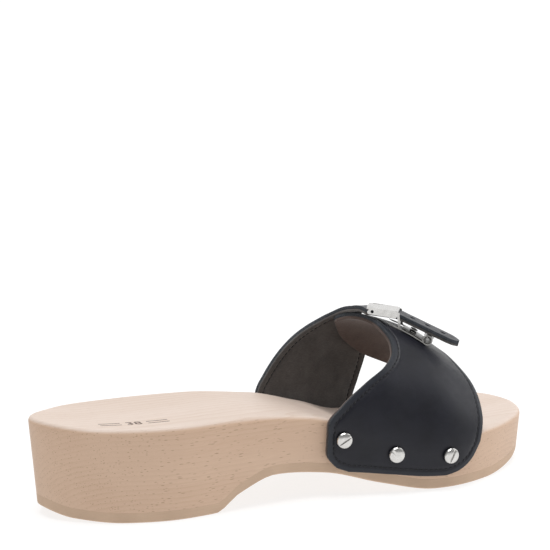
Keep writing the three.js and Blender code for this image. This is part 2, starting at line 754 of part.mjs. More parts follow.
const materials = {
  beech: new THREE.MeshStandardMaterial({ color: 0xd3b596, roughness: 0.62, metalness: 0 }),
  rubber: new THREE.MeshStandardMaterial({ color: 0xb9a189, roughness: 0.8, metalness: 0 }),
  leather: new THREE.MeshStandardMaterial({ color: 0x2a2b30, roughness: 0.45, metalness: 0 }),
  lining: new THREE.MeshStandardMaterial({ color: 0x4a423e, roughness: 0.9, metalness: 0 }),
  thread: new THREE.MeshStandardMaterial({ color: 0x16171a, roughness: 0.7, metalness: 0 }),
  nickel: new THREE.MeshStandardMaterial({ color: 0xc9c8c4, roughness: 0.28, metalness: 1 }),
};

const clog = new THREE.Group();

function addPiece(name, solid, material, parent = clog) {
  const mesh = new THREE.Mesh(geometryFrom(solid), material.clone());
  mesh.name = name;
  parent.add(mesh);
  return mesh;
}

const subtractAll = (solid, tools) => tools.reduce((left, tool) => left.subtract(tool), solid);
const screwHoles = screwSpots.map(screwHole);
const rivetHoles = rivetSpots.map(rivetHole);
const woodBottom = (along) => groundUp(along) + rubberThickness + gap;
const outerTools = [...screwHoles.slice(0, 3), ...rivetHoles];
const innerTools = [...screwHoles.slice(3), ...tongueHoles()];
const leatherFoot = liningThickness + gap;

addPiece(
  "footbed",
  subtractAll(soleSolid(edgeUp, woodBottom, rimRadius, true), screwHoles),
  materials.beech,
);
addPiece(
  "outsole",
  soleSolid((along) => groundUp(along) + rubberThickness, groundUp, 0, false),
  materials.rubber,
);
addPiece(
  "outer_strap_lining",
  subtractAll(outerStrapSolid(0, liningThickness), outerTools),
  materials.lining,
);
addPiece(
  "outer_strap",
  subtractAll(outerStrapSolid(leatherFoot, strapThickness), outerTools),
  materials.leather,
);
addPiece(
  "inner_strap_lining",
  subtractAll(innerStrapSolid(0, liningThickness), innerTools),
  materials.lining,
);
addPiece(
  "inner_strap",
  subtractAll(innerStrapSolid(leatherFoot, strapThickness), innerTools),
  materials.leather,
);
addPiece("outer_strap_thread", outerThread(), materials.thread);
addPiece("inner_strap_thread", innerThread(), materials.thread);

for (const spot of screwSpots) {
  const screw = addPiece(spot.name, screwSolid(), materials.nickel);
  const upright = new THREE.Quaternion().setFromUnitVectors(new THREE.Vector3(0, 1, 0), spot.normal);
  const spin = new THREE.Quaternion().setFromAxisAngle(new THREE.Vector3(0, 1, 0), spot.slotTurn);
  screw.quaternion.copy(upright.multiply(spin));
  screw.position.copy(spot.point).addScaledVector(spot.normal, strapThickness + gap);
}

const buckle = new THREE.Group();
buckle.applyMatrix4(buckleFrame);
clog.add(buckle);
const buckleHoles = rivetSpots.map((spot) => rivetHole({
  point: spot.point.clone().applyMatrix4(buckleFrame.clone().invert()),
  normal: spot.normal.clone().transformDirection(buckleFrame.clone().invert()),
}));
addPiece("buckle_base", subtractAll(basePlateSolid(), buckleHoles), materials.nickel, buckle);
addPiece("buckle_lever", leverSolid(), materials.nickel, buckle);
addPiece("buckle_pin", pinSolid(), materials.nickel, buckle);

for (const spot of rivetSpots) {
  const upright = new THREE.Quaternion().setFromUnitVectors(new THREE.Vector3(0, 1, 0), spot.normal);
  for (const [name, solid] of [[spot.name, rivetSolid()], [spot.washerName, washerSolid()]]) {
    const piece = addPiece(name, solid, materials.nickel);
    piece.quaternion.copy(upright);
    piece.position.copy(spot.point);
  }
}

export default clog;
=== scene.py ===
import math

import bmesh
import bpy
import numpy as np
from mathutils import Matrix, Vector


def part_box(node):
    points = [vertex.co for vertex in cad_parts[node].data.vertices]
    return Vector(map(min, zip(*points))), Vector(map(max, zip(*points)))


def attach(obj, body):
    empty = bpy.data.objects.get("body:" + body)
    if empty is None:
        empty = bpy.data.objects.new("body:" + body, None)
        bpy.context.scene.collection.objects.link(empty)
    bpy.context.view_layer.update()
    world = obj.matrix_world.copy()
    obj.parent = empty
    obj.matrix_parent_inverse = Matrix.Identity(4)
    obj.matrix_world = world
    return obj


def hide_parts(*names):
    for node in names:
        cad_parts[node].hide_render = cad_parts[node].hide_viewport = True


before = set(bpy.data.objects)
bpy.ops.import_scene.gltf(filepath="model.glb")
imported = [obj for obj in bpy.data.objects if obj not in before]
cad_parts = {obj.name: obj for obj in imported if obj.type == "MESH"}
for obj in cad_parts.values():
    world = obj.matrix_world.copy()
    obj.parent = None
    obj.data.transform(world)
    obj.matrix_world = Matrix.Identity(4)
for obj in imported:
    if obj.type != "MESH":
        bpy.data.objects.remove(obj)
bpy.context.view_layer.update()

print("frame loaded:", len(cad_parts), "CAD nodes")

# Shapes are worked out in millimetres in shoe coordinates: along from the back of the heel to the toe,
# across towards the outer side, and up from the ground. They turn into metres when they go into a mesh.


# Cubic pieces through [x, y] points: the slope at a point is the harmonic mean of its neighbours' slopes,
# or zero where they differ in sign, so the line never overshoots.
def lineThrough(points):
    xs, ys = np.array(points, float).T
    slope = np.diff(ys) / np.diff(xs)
    product = slope[:-1] * slope[1:]
    total = np.where(product > 0, slope[:-1] + slope[1:], 1)
    tangent = np.concatenate([slope[:1], np.where(product > 0, 2 * product / total, 0), slope[-1:]])

    def line(x):
        i = np.clip(np.searchsorted(xs, x) - 1, 0, len(xs) - 2)
        width = xs[i + 1] - xs[i]
        t = np.clip((x - xs[i]) / width, 0, 1)
        start = ys[i] * (2 * t**3 - 3 * t**2 + 1) + tangent[i] * width * (t**3 - 2 * t**2 + t)
        return start + ys[i + 1] * (3 * t**2 - 2 * t**3) + tangent[i + 1] * width * (t**3 - t**2)

    return line


# A curve through points whose pieces are timed by the square root of their length, for t from 0 to 1.
def curveThrough(points, closed):
    p = np.array(points, float)
    if not closed:
        p = np.concatenate([2 * p[:1] - p[1:2], p, 2 * p[-1:] - p[-2:-1]])

    def curve(t):
        if closed:
            place = np.mod(t, 1) * len(p)
            i = np.floor(place).astype(int)
            a, b, c, d = (p[(i + k) % len(p)] for k in (-1, 0, 1, 2))
        else:
            place = np.clip(t, 0, 1) * (len(p) - 3)
            i = np.minimum(np.floor(place).astype(int), len(p) - 4)
            a, b, c, d = (p[i + k] for k in range(4))
        w = (place - i)[..., None]
        steps = ((a, b), (b, c), (c, d))
        ab, bc, cd = (np.linalg.norm(v - u, axis=-1, keepdims=True) ** 0.5 for u, v in steps)
        m = ((b - a) / ab - (c - a) / (ab + bc) + (c - b) / bc) * bc
        n = ((c - b) / bc - (d - b) / (bc + cd) + (d - c) / cd) * bc
        start = b * (2 * w**3 - 3 * w**2 + 1) + m * (w**3 - 2 * w**2 + w)
        return start + c * (3 * w**2 - 2 * w**3) + n * (w**3 - w**2)

    return curve


def mix(a, b, t):
    return a + (b - a) * t


# 3t^2 - 2t^3 between low and high.
def smoothStep(low, high, x):
    t = np.clip((x - low) / (high - low), 0, 1)
    return t * t * (3 - 2 * t)


# Shoe coordinates to the object's frame: x = -across, y = heel seat - along, z = up.
def place(along, across, up):
    along, across, up = np.broadcast_arrays(along, across, up)
    return np.stack([-across, sole["heelSeat"] - along, up], -1)


# For each of some points, the number of the nearest point of a cloud: the least of |q|^2 - 2 p.q.
def nearestIn(points, cloud):
    return ((cloud**2).sum(-1) - 2 * points @ cloud.T).argmin(1)


def unit(v):
    return v / np.maximum(np.linalg.norm(v, axis=-1, keepdims=True), 1e-9)


# Quads of a rows x columns grid, closed round the columns if asked.
def gridFaces(rows, columns, wrap=False, start=0, flip=False):
    i = np.arange(rows - 1)[:, None]
    j = np.arange(columns if wrap else columns - 1)[None, :]
    right = (j + 1) % columns
    faces = np.stack(
        [i * columns + j, i * columns + right, (i + 1) * columns + right, (i + 1) * columns + j], -1
    ).reshape(-1, 4)
    return (faces[:, ::-1] if flip else faces) + start


# One number for each point of a mesh, under a name that its material reads.
def addValues(mesh, name, numbers):
    made = mesh.attributes.new(name, "FLOAT", "POINT")
    made.data.foreach_set("value", numbers.reshape(-1).astype(np.float32))


def addObject(name, mesh):
    made = bpy.data.objects.new(name, mesh)
    bpy.context.scene.collection.objects.link(made)
    return made


# Puts millimetre points and faces into a new object, merges coinciding points and turns the faces outward.
def addMesh(name, points, faces, values=None, merge=2e-6):
    mesh = bpy.data.meshes.new(name)
    mesh.from_pydata((points.reshape(-1, 3) / 1000).tolist(), [], faces.tolist())
    for key, numbers in (values or {}).items():
        addValues(mesh, key, numbers)
    tidyMesh(mesh, merge)
    return addObject(name, mesh)


def tidyMesh(mesh, merge):
    bm = bmesh.new()
    bm.from_mesh(mesh)
    bmesh.ops.remove_doubles(bm, verts=bm.verts, dist=merge)
    bmesh.ops.dissolve_degenerate(bm, edges=bm.edges, dist=merge / 2)
    bmesh.ops.recalc_face_normals(bm, faces=bm.faces)
    bm.to_mesh(mesh)
    bm.free()
    mesh.shade_smooth()


# Nodes are added by kind, with sockets named or numbered: a socket links, anything else is a value.
def addNode(tree, kind, inputs=None, **settings):
    made = tree.nodes.new("ShaderNode" + kind)
    for name, value in settings.items():
        setattr(made, name, value)
    for key, value in (inputs or {}).items():
        if isinstance(value, bpy.types.NodeSocket):
            tree.links.new(value, made.inputs[key])
        else:
            made.inputs[key].default_value = value
    return made


def mathNode(tree, operation, a, b=0.0, clamp=False):
    return addNode(tree, "Math", {0: a, 1: b}, operation=operation, use_clamp=clamp).outputs[0]


# Straight from one range to another, held at its ends.
def rangeNode(tree, value, low, high, toLow=0.0, toHigh=1.0, kind="LINEAR"):
    inputs = {"Value": value, "From Min": low, "From Max": high, "To Min": toLow, "To Max": toHigh}
    return addNode(tree, "MapRange", inputs, interpolation_type=kind).outputs["Result"]


def mixColour(tree, share, a, b, kind="MIX"):
    made = addNode(tree, "Mix", {"Factor": share}, data_type="RGBA", blend_type=kind)
    colourInputs = [s for s in made.inputs if s.type == "RGBA"]
    for socket, value in zip(colourInputs, (a, b)):
        if isinstance(value, bpy.types.NodeSocket):
            tree.links.new(value, socket)
        else:
            socket.default_value = (*value, 1)
    return [s for s in made.outputs if s.type == "RGBA"][0]


# A group with named sockets. build(tree, inputs, outputs) fills it.
def makeGroup(name, inputs, outputs, build):
    tree = bpy.data.node_groups.new(name, "ShaderNodeTree")
    for socketName, kind, value in inputs:
        socket = tree.interface.new_socket(name=socketName, in_out="INPUT", socket_type="NodeSocket" + kind)
        if value is not None:
            socket.default_value = value
    for socketName, kind in outputs:
        tree.interface.new_socket(name=socketName, in_out="OUTPUT", socket_type="NodeSocket" + kind)
    source = tree.nodes.new("NodeGroupInput")
    results = build(tree, source.outputs)
    end = tree.nodes.new("NodeGroupOutput")
    for socketName, value in results.items():
        tree.links.new(value, end.inputs[socketName])
    return tree


def useGroup(tree, group, inputs):
    made = tree.nodes.new("ShaderNodeGroup")
    made.node_tree = group
    for key, value in inputs.items():
        if isinstance(value, bpy.types.NodeSocket):
            tree.links.new(value, made.inputs[key])
        else:
            made.inputs[key].default_value = value
    return made.outputs


def scaled(tree, vector, by):
    return addNode(tree, "VectorMath", {0: vector, "Scale": by}, operation="SCALE").outputs[0]


# Object coordinates in millimetres.
def millimetres(tree):
    return scaled(tree, addNode(tree, "TexCoord").outputs["Object"], 1000.0)


# A pattern's coordinates, turned and then squeezed along each axis.
def stretched(tree, spot, by, turn=(0.0, 0.0, 0.0)):
    return addNode(tree, "Mapping", {"Vector": spot, "Rotation": turn, "Scale": by}).outputs[0]


def noiseNode(tree, spot, perMm, detail, roughness=0.5):
    inputs = {"Vector": spot, "Scale": perMm, "Detail": detail, "Roughness": roughness}
    return addNode(tree, "TexNoise", inputs).outputs["Fac"]


# Noise from low to high: clouds of one size with smaller ones in them.
def buildClouds(tree, given):
    noise = noiseNode(tree, given["Place"], given["Per mm"], 4.0, 0.55)
    return {"Value": rangeNode(tree, noise, 0.3, 0.7, given["Low"], given["High"])}


# Small rounded cells with creases between them, on a larger slow wrinkle.
def buildPores(tree, given):
    inputs = {"Vector": given["Place"], "Scale": 1.4, "Detail": 2.0}
    shift = scaled(tree, addNode(tree, "TexNoise", inputs).outputs["Color"], 0.5)
    spot = addNode(tree, "VectorMath", {0: given["Place"], 1: shift}, operation="ADD").outputs[0]
    inputs = {"Vector": spot, "Scale": given["Per mm"]}
    cells = addNode(tree, "TexVoronoi", inputs, feature="DISTANCE_TO_EDGE").outputs["Distance"]
    cell = rangeNode(tree, cells, 0.0, 0.16, 0.0, 1.0, "SMOOTHSTEP")
    wrinkle = mathNode(tree, "MULTIPLY", noiseNode(tree, given["Place"], 0.22, 5.0, 0.6), given["Wrinkle"])
    return {"Height": mathNode(tree, "ADD", cell, wrinkle)}


# Hairline scratches in two directions.
def buildScratches(tree, given):
    lines = []
    for turn, rate in ((0.5, 1.0), (-0.9, 0.7)):
        drawn = stretched(tree, given["Place"], (0.35, 7 * rate, 7), (0.3, 0.2, turn))
        lines.append(rangeNode(tree, noiseNode(tree, drawn, 1.2, 3.0), 0.55, 0.75))
    both = mathNode(tree, "MAXIMUM", *lines)
    return {"Mask": mathNode(tree, "MULTIPLY", both, given["Amount"], True)}


placeInput = ("Place", "Vector", None)
clouds = makeGroup(
    "clouds",
    [placeInput, ("Per mm", "Float", 0.2), ("Low", "Float", 0.0), ("High", "Float", 1.0)],
    [("Value", "Float")],
    buildClouds,
)
pores = makeGroup(
    "pores",
    [placeInput, ("Per mm", "Float", 2.0), ("Wrinkle", "Float", 1.0)],
    [("Height", "Float")],
    buildPores,
)
scratches = makeGroup(
    "scratches",
    [placeInput, ("Amount", "Float", 1.0)],
    [("Mask", "Float")],
    buildScratches,
)


def cloudsOn(tree, spot, perMm, low, high):
    return useGroup(tree, clouds, {"Place": spot, "Per mm": perMm, "Low": low, "High": high})["Value"]


def attributeNode(tree, name):
    return addNode(tree, "Attribute", attribute_name=name).outputs["Fac"]


def startMaterial(name):
    material = bpy.data.materials.new(name)
    material.use_nodes = True
    tree = material.node_tree
    return material, tree, tree.nodes["Principled BSDF"]


def link(tree, socket, shader, name):
    tree.links.new(socket, shader.inputs[name])


def bumpFrom(tree, height, strength, distance):
    inputs = {"Height": height, "Strength": strength, "Distance": distance}
    return addNode(tree, "Bump", inputs).outputs["Normal"]


beech = {
    "pale": (0.70, 0.505, 0.37), "warm": (0.62, 0.425, 0.30), "ringLine": (0.47, 0.30, 0.19),
    "fleck": (0.30, 0.17, 0.10), "topPale": (0.71, 0.60, 0.53), "topWarm": (0.64, 0.52, 0.44),
    "pith": (-30.0, 0.0, -10.0), "ringWidth": 2.1, "ringShare": 0.5, "sway": 5.0, "fleckShare": 0.55,
    "roughness": (0.42, 0.6),
}


def makeBeech():
    material, tree, shader = startMaterial("beech")
    spot = millimetres(tree)
    # The tree's axis runs along the shoe, so its rings are lines on the sides and arcs on the heel.
    moved = addNode(tree, "VectorMath", {0: spot, 1: beech["pith"]}, operation="SUBTRACT").outputs[0]
    slow = stretched(tree, moved, (0.03, 0.004, 0.03))
    flat = addNode(tree, "VectorMath", {0: moved, 1: (1.0, 0.03, 1.0)}, operation="MULTIPLY").outputs[0]
    radius = addNode(tree, "VectorMath", {0: flat}, operation="LENGTH").outputs["Value"]
    sway = mathNode(tree, "MULTIPLY", noiseNode(tree, slow, 1.0, 3.0), beech["sway"])
    turns = mathNode(tree, "DIVIDE", mathNode(tree, "ADD", radius, sway), beech["ringWidth"])
    ring = mathNode(tree, "FRACT", turns)
    late = mathNode(tree, "POWER", ring, 3.0)
    edge = rangeNode(tree, ring, 0.93, 1.0, 1.0, 0.0)
    uneven = cloudsOn(tree, slow, 1.3, 0.0, beech["ringShare"])
    late = mathNode(tree, "MULTIPLY", mathNode(tree, "MULTIPLY", late, edge), uneven)
    # Fibres: noise drawn out along the shoe.
    fibre = noiseNode(tree, stretched(tree, spot, (3.2, 0.07, 3.2)), 1.0, 4.0, 0.6)
    patch = cloudsOn(tree, slow, 1.6, 0.0, 1.0)
    tone = mathNode(tree, "MULTIPLY", fibre, 0.75)
    tone = mathNode(tree, "ADD", tone, mathNode(tree, "MULTIPLY", patch, 0.4))
    tone = rangeNode(tree, tone, 0.25, 0.9)
    # Painted light: faces that look up get a paler colour than the sides, standing for the light from above
    # falling on the top. They are told from the sides by the upward part of the face's direction.
    facing = addNode(tree, "TexCoord").outputs["Normal"]
    upward = addNode(tree, "SeparateXYZ", {"Vector": facing}).outputs["Z"]
    top = rangeNode(tree, upward, 0.25, 0.85)
    side = mixColour(tree, tone, beech["pale"], beech["warm"])
    paintedLitTop = mixColour(tree, tone, beech["topPale"], beech["topWarm"])
    colour = mixColour(tree, top, side, paintedLitTop)
    # Ray flecks: a short dark spindle along the grain in most cells, fewer of them seen on the top.
    fleckSpot = stretched(tree, spot, (1.5, 0.24, 1.7), (0.06, 0.0, 0.0))
    cells = addNode(tree, "TexVoronoi", {"Vector": fleckSpot, "Scale": 1.0}, feature="F1")
    chance = addNode(tree, "SeparateColor", {"Color": cells.outputs["Color"]}).outputs[0]
    reach = mathNode(tree, "MAXIMUM", rangeNode(tree, chance, 0.1, 1.0, 0.0, 0.36), 0.001)
    gone = mathNode(tree, "DIVIDE", cells.outputs["Distance"], reach)
    fleck = mathNode(tree, "MULTIPLY", rangeNode(tree, gone, 0.7, 1.0, 1.0, 0.0), beech["fleckShare"])
    fleck = mathNode(tree, "MULTIPLY", fleck, rangeNode(tree, top, 0.0, 1.0, 1.0, 0.25))
    colour = mixColour(tree, late, colour, beech["ringLine"])
    colour = mixColour(tree, fleck, colour, beech["fleck"])
    link(tree, colour, shader, "Base Color")
    link(tree, rangeNode(tree, fibre, 0.3, 0.7, *beech["roughness"]), shader, "Roughness")
    height = mathNode(tree, "MULTIPLY", fibre, 0.5)
    height = mathNode(tree, "SUBTRACT", height, mathNode(tree, "MULTIPLY", fleck, 0.6))
    link(tree, bumpFrom(tree, height, 0.35, 0.00012), shader, "Normal")
    shader.inputs["Specular IOR Level"].default_value = 0.4
    return material


rubber = {"colour": (0.64, 0.465, 0.335), "dark": (0.56, 0.40, 0.285), "roughness": (0.6, 0.78)}


def makeRubber():
    material, tree, shader = startMaterial("rubber")
    spot = millimetres(tree)
    mottle = cloudsOn(tree, spot, 0.08, 0.0, 0.7)
    streak = cloudsOn(tree, stretched(tree, spot, (1.0, 0.05, 2.2)), 1.0, 0.0, 0.35)
    grit = noiseNode(tree, spot, 3.0, 3.0)
    tone = mathNode(tree, "ADD", mottle, streak, True)
    link(tree, mixColour(tree, tone, rubber["colour"], rubber["dark"]), shader, "Base Color")
    link(tree, rangeNode(tree, grit, 0.3, 0.7, *rubber["roughness"]), shader, "Roughness")
    link(tree, bumpFrom(tree, grit, 0.25, 0.00008), shader, "Normal")
    shader.inputs["Specular IOR Level"].default_value = 0.3
    return material


leather = {
    "colour": (0.0075, 0.0079, 0.0125), "light": (0.012, 0.0126, 0.0195), "rim": (0.022, 0.025, 0.033),
    "edge": (0.085, 0.095, 0.11), "edgeDark": (0.004, 0.0045, 0.006), "roughness": (0.32, 0.43),
    "poresPerMm": 2.3,
}


def makeLeather():
    material, tree, shader = startMaterial("leather")
    spot = millimetres(tree)
    colour = mixColour(tree, cloudsOn(tree, spot, 0.09, 0.0, 1.0), leather["colour"], leather["light"])
    # The rim outside the stitches is given a lighter colour, and the cut edge shows raw fibres.
    rim = rangeNode(tree, attributeNode(tree, "fromEdge"), 1.6, 2.5, 0.75, 0.0)
    colour = mixColour(tree, rim, colour, leather["rim"])
    cut = attributeNode(tree, "cut")
    fibre = cloudsOn(tree, stretched(tree, spot, (2.4, 2.4, 5.0)), 1.0, 0.0, 1.0)
    raw = mixColour(tree, fibre, leather["edgeDark"], leather["edge"])
    link(tree, mixColour(tree, cut, colour, raw), shader, "Base Color")
    rough = cloudsOn(tree, spot, 0.3, *leather["roughness"])
    rough = mathNode(tree, "MAXIMUM", rough, mathNode(tree, "MULTIPLY", cut, 0.75))
    link(tree, rough, shader, "Roughness")
    inputs = {"Place": spot, "Per mm": leather["poresPerMm"], "Wrinkle": 2.2}
    skin = useGroup(tree, pores, inputs)["Height"]
    loose = mathNode(tree, "MULTIPLY", mathNode(tree, "MULTIPLY", fibre, cut), 2.0)
    height = mathNode(tree, "ADD", skin, loose)
    link(tree, bumpFrom(tree, height, 0.22, 0.00009), shader, "Normal")
    shader.inputs["Specular IOR Level"].default_value = 0.32
    return material


lining = {
    "colour": (0.05, 0.045, 0.043), "light": (0.12, 0.112, 0.107), "warm": (0.062, 0.040, 0.033),
    "warmLight": (0.125, 0.09, 0.077), "roughness": (0.75, 0.95), "sheen": 0.25,
}


def makeLining():
    material, tree, shader = startMaterial("lining")
    spot = millimetres(tree)
    nap = noiseNode(tree, spot, 3.5, 4.0, 0.7)
    shade = mathNode(tree, "MULTIPLY", cloudsOn(tree, spot, 0.12, 0.0, 0.8), 0.6)
    tone = mathNode(tree, "ADD", mathNode(tree, "MULTIPLY", nap, 0.5), shade, True)
    fibre = cloudsOn(tree, stretched(tree, spot, (2.6, 0.5, 2.6), (0.5, 0.2, 0.4)), 1.0, -0.25, 0.3)
    tone = mathNode(tree, "ADD", tone, fibre, True)
    grey = mixColour(tree, tone, lining["colour"], lining["light"])
    brown = mixColour(tree, tone, lining["warm"], lining["warmLight"])
    link(tree, mixColour(tree, attributeNode(tree, "warm"), grey, brown), shader, "Base Color")
    link(tree, rangeNode(tree, nap, 0.3, 0.7, *lining["roughness"]), shader, "Roughness")
    link(tree, bumpFrom(tree, nap, 0.4, 0.00012), shader, "Normal")
    shader.inputs["Sheen Weight"].default_value = lining["sheen"]
    shader.inputs["Specular IOR Level"].default_value = 0.2
    return material


thread = {"colour": (0.003, 0.003, 0.004), "light": (0.012, 0.013, 0.017)}


def makeThread():
    material, tree, shader = startMaterial("thread")
    inputs = {"Vector": millimetres(tree), "Scale": 1.3, "Distortion": 0.6}
    strand = addNode(tree, "TexWave", inputs, bands_direction="DIAGONAL").outputs["Fac"]
    link(tree, mixColour(tree, strand, thread["colour"], thread["light"]), shader, "Base Color")
    link(tree, rangeNode(tree, strand, 0.0, 1.0, 0.75, 0.5), shader, "Roughness")
    link(tree, bumpFrom(tree, strand, 0.5, 0.0001), shader, "Normal")
    return material


nickel = {
    "colour": (0.72, 0.71, 0.69), "dull": (0.5, 0.49, 0.48), "aged": (0.07, 0.067, 0.062),
    "roughness": (0.22, 0.38),
}


def makeNickel():
    material, tree, shader = startMaterial("nickel")
    spot = millimetres(tree)
    lines = useGroup(tree, scratches, {"Place": spot, "Amount": 0.6})["Mask"]
    bloom = cloudsOn(tree, spot, 0.5, 0.0, 0.45)
    tone = mathNode(tree, "ADD", lines, bloom, True)
    colour = mixColour(tree, tone, nickel["colour"], nickel["dull"])
    # Painted shade: the metal is darkened where its mesh marks it, standing for the shade under the tongue
    # and the dark leather it mirrors there.
    aged = attributeNode(tree, "aged")
    aged = mathNode(tree, "MULTIPLY", aged, rangeNode(tree, bloom, 0.0, 0.45, 0.8, 1.0))
    link(tree, mixColour(tree, aged, colour, nickel["aged"]), shader, "Base Color")
    link(tree, rangeNode(tree, tone, 0.0, 1.0, *nickel["roughness"]), shader, "Roughness")
    link(tree, bumpFrom(tree, lines, 0.15, 0.00004), shader, "Normal")
    shader.inputs["Metallic"].default_value = 1.0
    return material


ink = {"colour": (0.05, 0.022, 0.014), "worn": (0.12, 0.07, 0.045), "roughness": (0.5, 0.7)}


def makeInk():
    material, tree, shader = startMaterial("ink")
    worn = cloudsOn(tree, millimetres(tree), 1.2, 0.0, 0.8)
    link(tree, mixColour(tree, worn, ink["colour"], ink["worn"]), shader, "Base Color")
    link(tree, rangeNode(tree, worn, 0.0, 1.0, *ink["roughness"]), shader, "Roughness")
    return material


materials = {
    "beech": makeBeech(), "rubber": makeRubber(), "leather": makeLeather(), "lining": makeLining(),
    "thread": makeThread(), "nickel": makeNickel(), "ink": makeInk(),
}
print("materials made:", ", ".join(materials))


# Gives a piece its material, the body it rides and the CAD nodes it stands for.
def finish(piece, slotName, body, *nodes):
    piece.data.materials.clear()
    piece.data.materials.append(materials[slotName])
    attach(piece, body)
    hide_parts(*nodes)
    return piece


sole = {
    "heelSeat": 50.0, "draft": 0.094, "rubber": 4.5, "rim": 2.2, "foot": 0.03, "treadFoot": 0.8,
    "seam": 0.02, "spine": (38.0, 212.0), "steps": 150, "toeIndex": 13,
    "outline": [
        [0, -3], [3.6, 8.8], [11.5, 18.5], [26, 29.2], [49, 36.6], [83, 34.8], [124, 34], [157, 42],
        [184, 46.3],
        [208, 40], [230, 26.8], [243, 13.4], [249, 0], [250, -9], [248, -21], [242, -30.3], [228, -38],
        [199, -42.4],
        [170, -40.4], [141, -31.8], [112, -26.2], [81, -29.7], [49, -30.8], [23, -28.8], [8.5, -19.6],
        [1.8, -10.8],
    ],
    "edge": [
        [0, 42.4], [20, 40.8], [50, 40.9], [85, 40.5], [115, 37.7], [145, 29.5], [175, 20.9], [205, 23.6],
        [230, 23.6], [251, 23.8],
    ],
    "ground": [
        [0, 5.8], [12, 1.4], [30, 0], [70, 0], [82, 7.3], [100, 13.2], [125, 10.9], [150, 4.5],
        [175, 0], [206, 0],
        [230, 2.2], [251, 9],
    ],
    "dish": [
        [0, 0.4], [22, 2.2], [50, 3], [85, 1.6], [110, 0.6], [140, 1], [170, 2.2], [190, 1.2], [204, -0.6],
        [218, 1.2], [240, 1], [251, 0.3],
    ],
}
outline = curveThrough(sole["outline"], True)
edgeUp, groundUp, dishDepth = (lineThrough(sole[key]) for key in ("edge", "ground", "dish"))


# The outline on one side (+1 outer, -1 inner) at a share of the way from heel to toe, moved inward along
# its normal.
def outlineAt(side, share, inset):
    toe = sole["toeIndex"] / len(sole["outline"])
    t = share * toe if side > 0 else 1 - share * (1 - toe)
    point = outline(t)
    tangent = unit(outline(t + 1e-3) - outline(t - 1e-3))
    return point[..., 0] + tangent[..., 1] * inset, point[..., 1] - tangent[..., 0] * inset


def sideTable(side):
    along, across = outlineAt(side, np.linspace(0, 1, 1500), 0)
    order = np.argsort(along)
    return lambda x: np.interp(x, along[order], across[order])


outerAcross, innerAcross = sideTable(1), sideTable(-1)


# How deep the footbed is dished at a share of the way in from its edge: 1 - (1 - share)^3 of the depth
# there.
def footbedUp(along, share):
    return edgeUp(along) - dishDepth(along) * (1 - (1 - share) ** 3)


# A closed shell of rings: the bottom from its middle line out, up the wall, over a rounded rim, and back
# in to the top's middle line. A wall point leans in by draft times its depth below the footbed's edge.
def soleShell(name, topUp, bottomUp, rim, foot, dished):
    steps = sole["steps"]
    share = np.concatenate([np.linspace(0, 1, steps + 1), np.linspace(1, 0, steps + 1)[1:-1]])
    side = np.where(np.arange(len(share)) <= steps, 1, -1)
    rings = []

    def wall(inset, height):
        outer, inner = outlineAt(1, share, 0)[0], outlineAt(-1, share, 0)[0]
        guess = np.where(side > 0, outer, inner)
        lean = inset + (edgeUp(guess) - height(guess)) * sole["draft"]
        outerSpot, innerSpot = outlineAt(1, share, lean), outlineAt(-1, share, lean)
        along = np.where(side > 0, outerSpot[0], innerSpot[0])
        across = np.where(side > 0, outerSpot[1], innerSpot[1])
        return along, across, height(along)

    middleAlong = (outlineAt(1, share, 0)[0] + outlineAt(-1, share, 0)[0]) / 2
    middleAlong = np.clip(middleAlong, *sole["spine"])
    middleAcross = (outerAcross(middleAlong) + innerAcross(middleAlong)) / 2

    def inward(edge, count, height, outward):
        amounts = np.linspace(0, 1, count + 1) ** 1.25
        made = []
        for amount in amounts[1:]:
            along, across = mix(edge[0], middleAlong, amount), mix(edge[1], middleAcross, amount)
            made.append(place(along, across, height(along, amount)))
        return made[::-1] if outward else made

    low = wall(foot, bottomUp)
    rings += inward(low, 8, lambda along, amount: bottomUp(along), True)
    rings.append(place(*low))
    for angle in np.linspace(0.25, 1, 3) * math.pi / 2:
        lifted = foot * (1 - math.cos(angle))
        rings.append(place(*wall(foot * (1 - math.sin(angle)), lambda x, y=lifted: bottomUp(x) + y)))
    for up in np.linspace(0, 1, 9)[1:-1]:
        rings.append(place(*wall(0, lambda x, u=up: mix(bottomUp(x) + foot, topUp(x) - rim, u))))
    for angle in np.linspace(0, 1, 7) * math.pi / 2:
        dropped = rim * (1 - math.sin(angle))
        rings.append(place(*wall(rim * (1 - math.cos(angle)), lambda x, y=dropped: topUp(x) - y)))
    high = wall(rim, topUp)

    def topHeight(along, amount):
        dish = edgeUp(along) - footbedUp(along, amount)
        return topUp(along) - dish * dished

    rings += inward(high, 16, topHeight, False)
    points = np.stack(rings)
    return addMesh(name, points, gridFaces(*points.shape[:2], wrap=True))


def outsoleTop(along):
    return groundUp(along) + sole["rubber"]


def footbedBottom(along):
    return outsoleTop(along) + sole["seam"]


footbed = soleShell("footbedWood", edgeUp, footbedBottom, sole["rim"], sole["foot"], True)
finish(footbed, "beech", "shoe", "footbed")
outsole = soleShell("outsoleRubber", outsoleTop, groundUp, sole["foot"], sole["treadFoot"], False)
finish(outsole, "rubber", "shoe", "outsole")


# A size mark on the heel: two digits between two pairs of thin bars, laid on the wood. Its line starts at a
# place on the shoe and leans outward by the heading, and the digits stand towards the inner side.
sizeMark = {
    "text": "38", "start": (27.0, 9.0), "heading": math.radians(8), "height": 5.2, "barLength": 9.5,
    "barWidth": 0.6, "barInset": 0.6, "barGap": 2.6, "barSteps": 13, "thickness": 0.06,
}


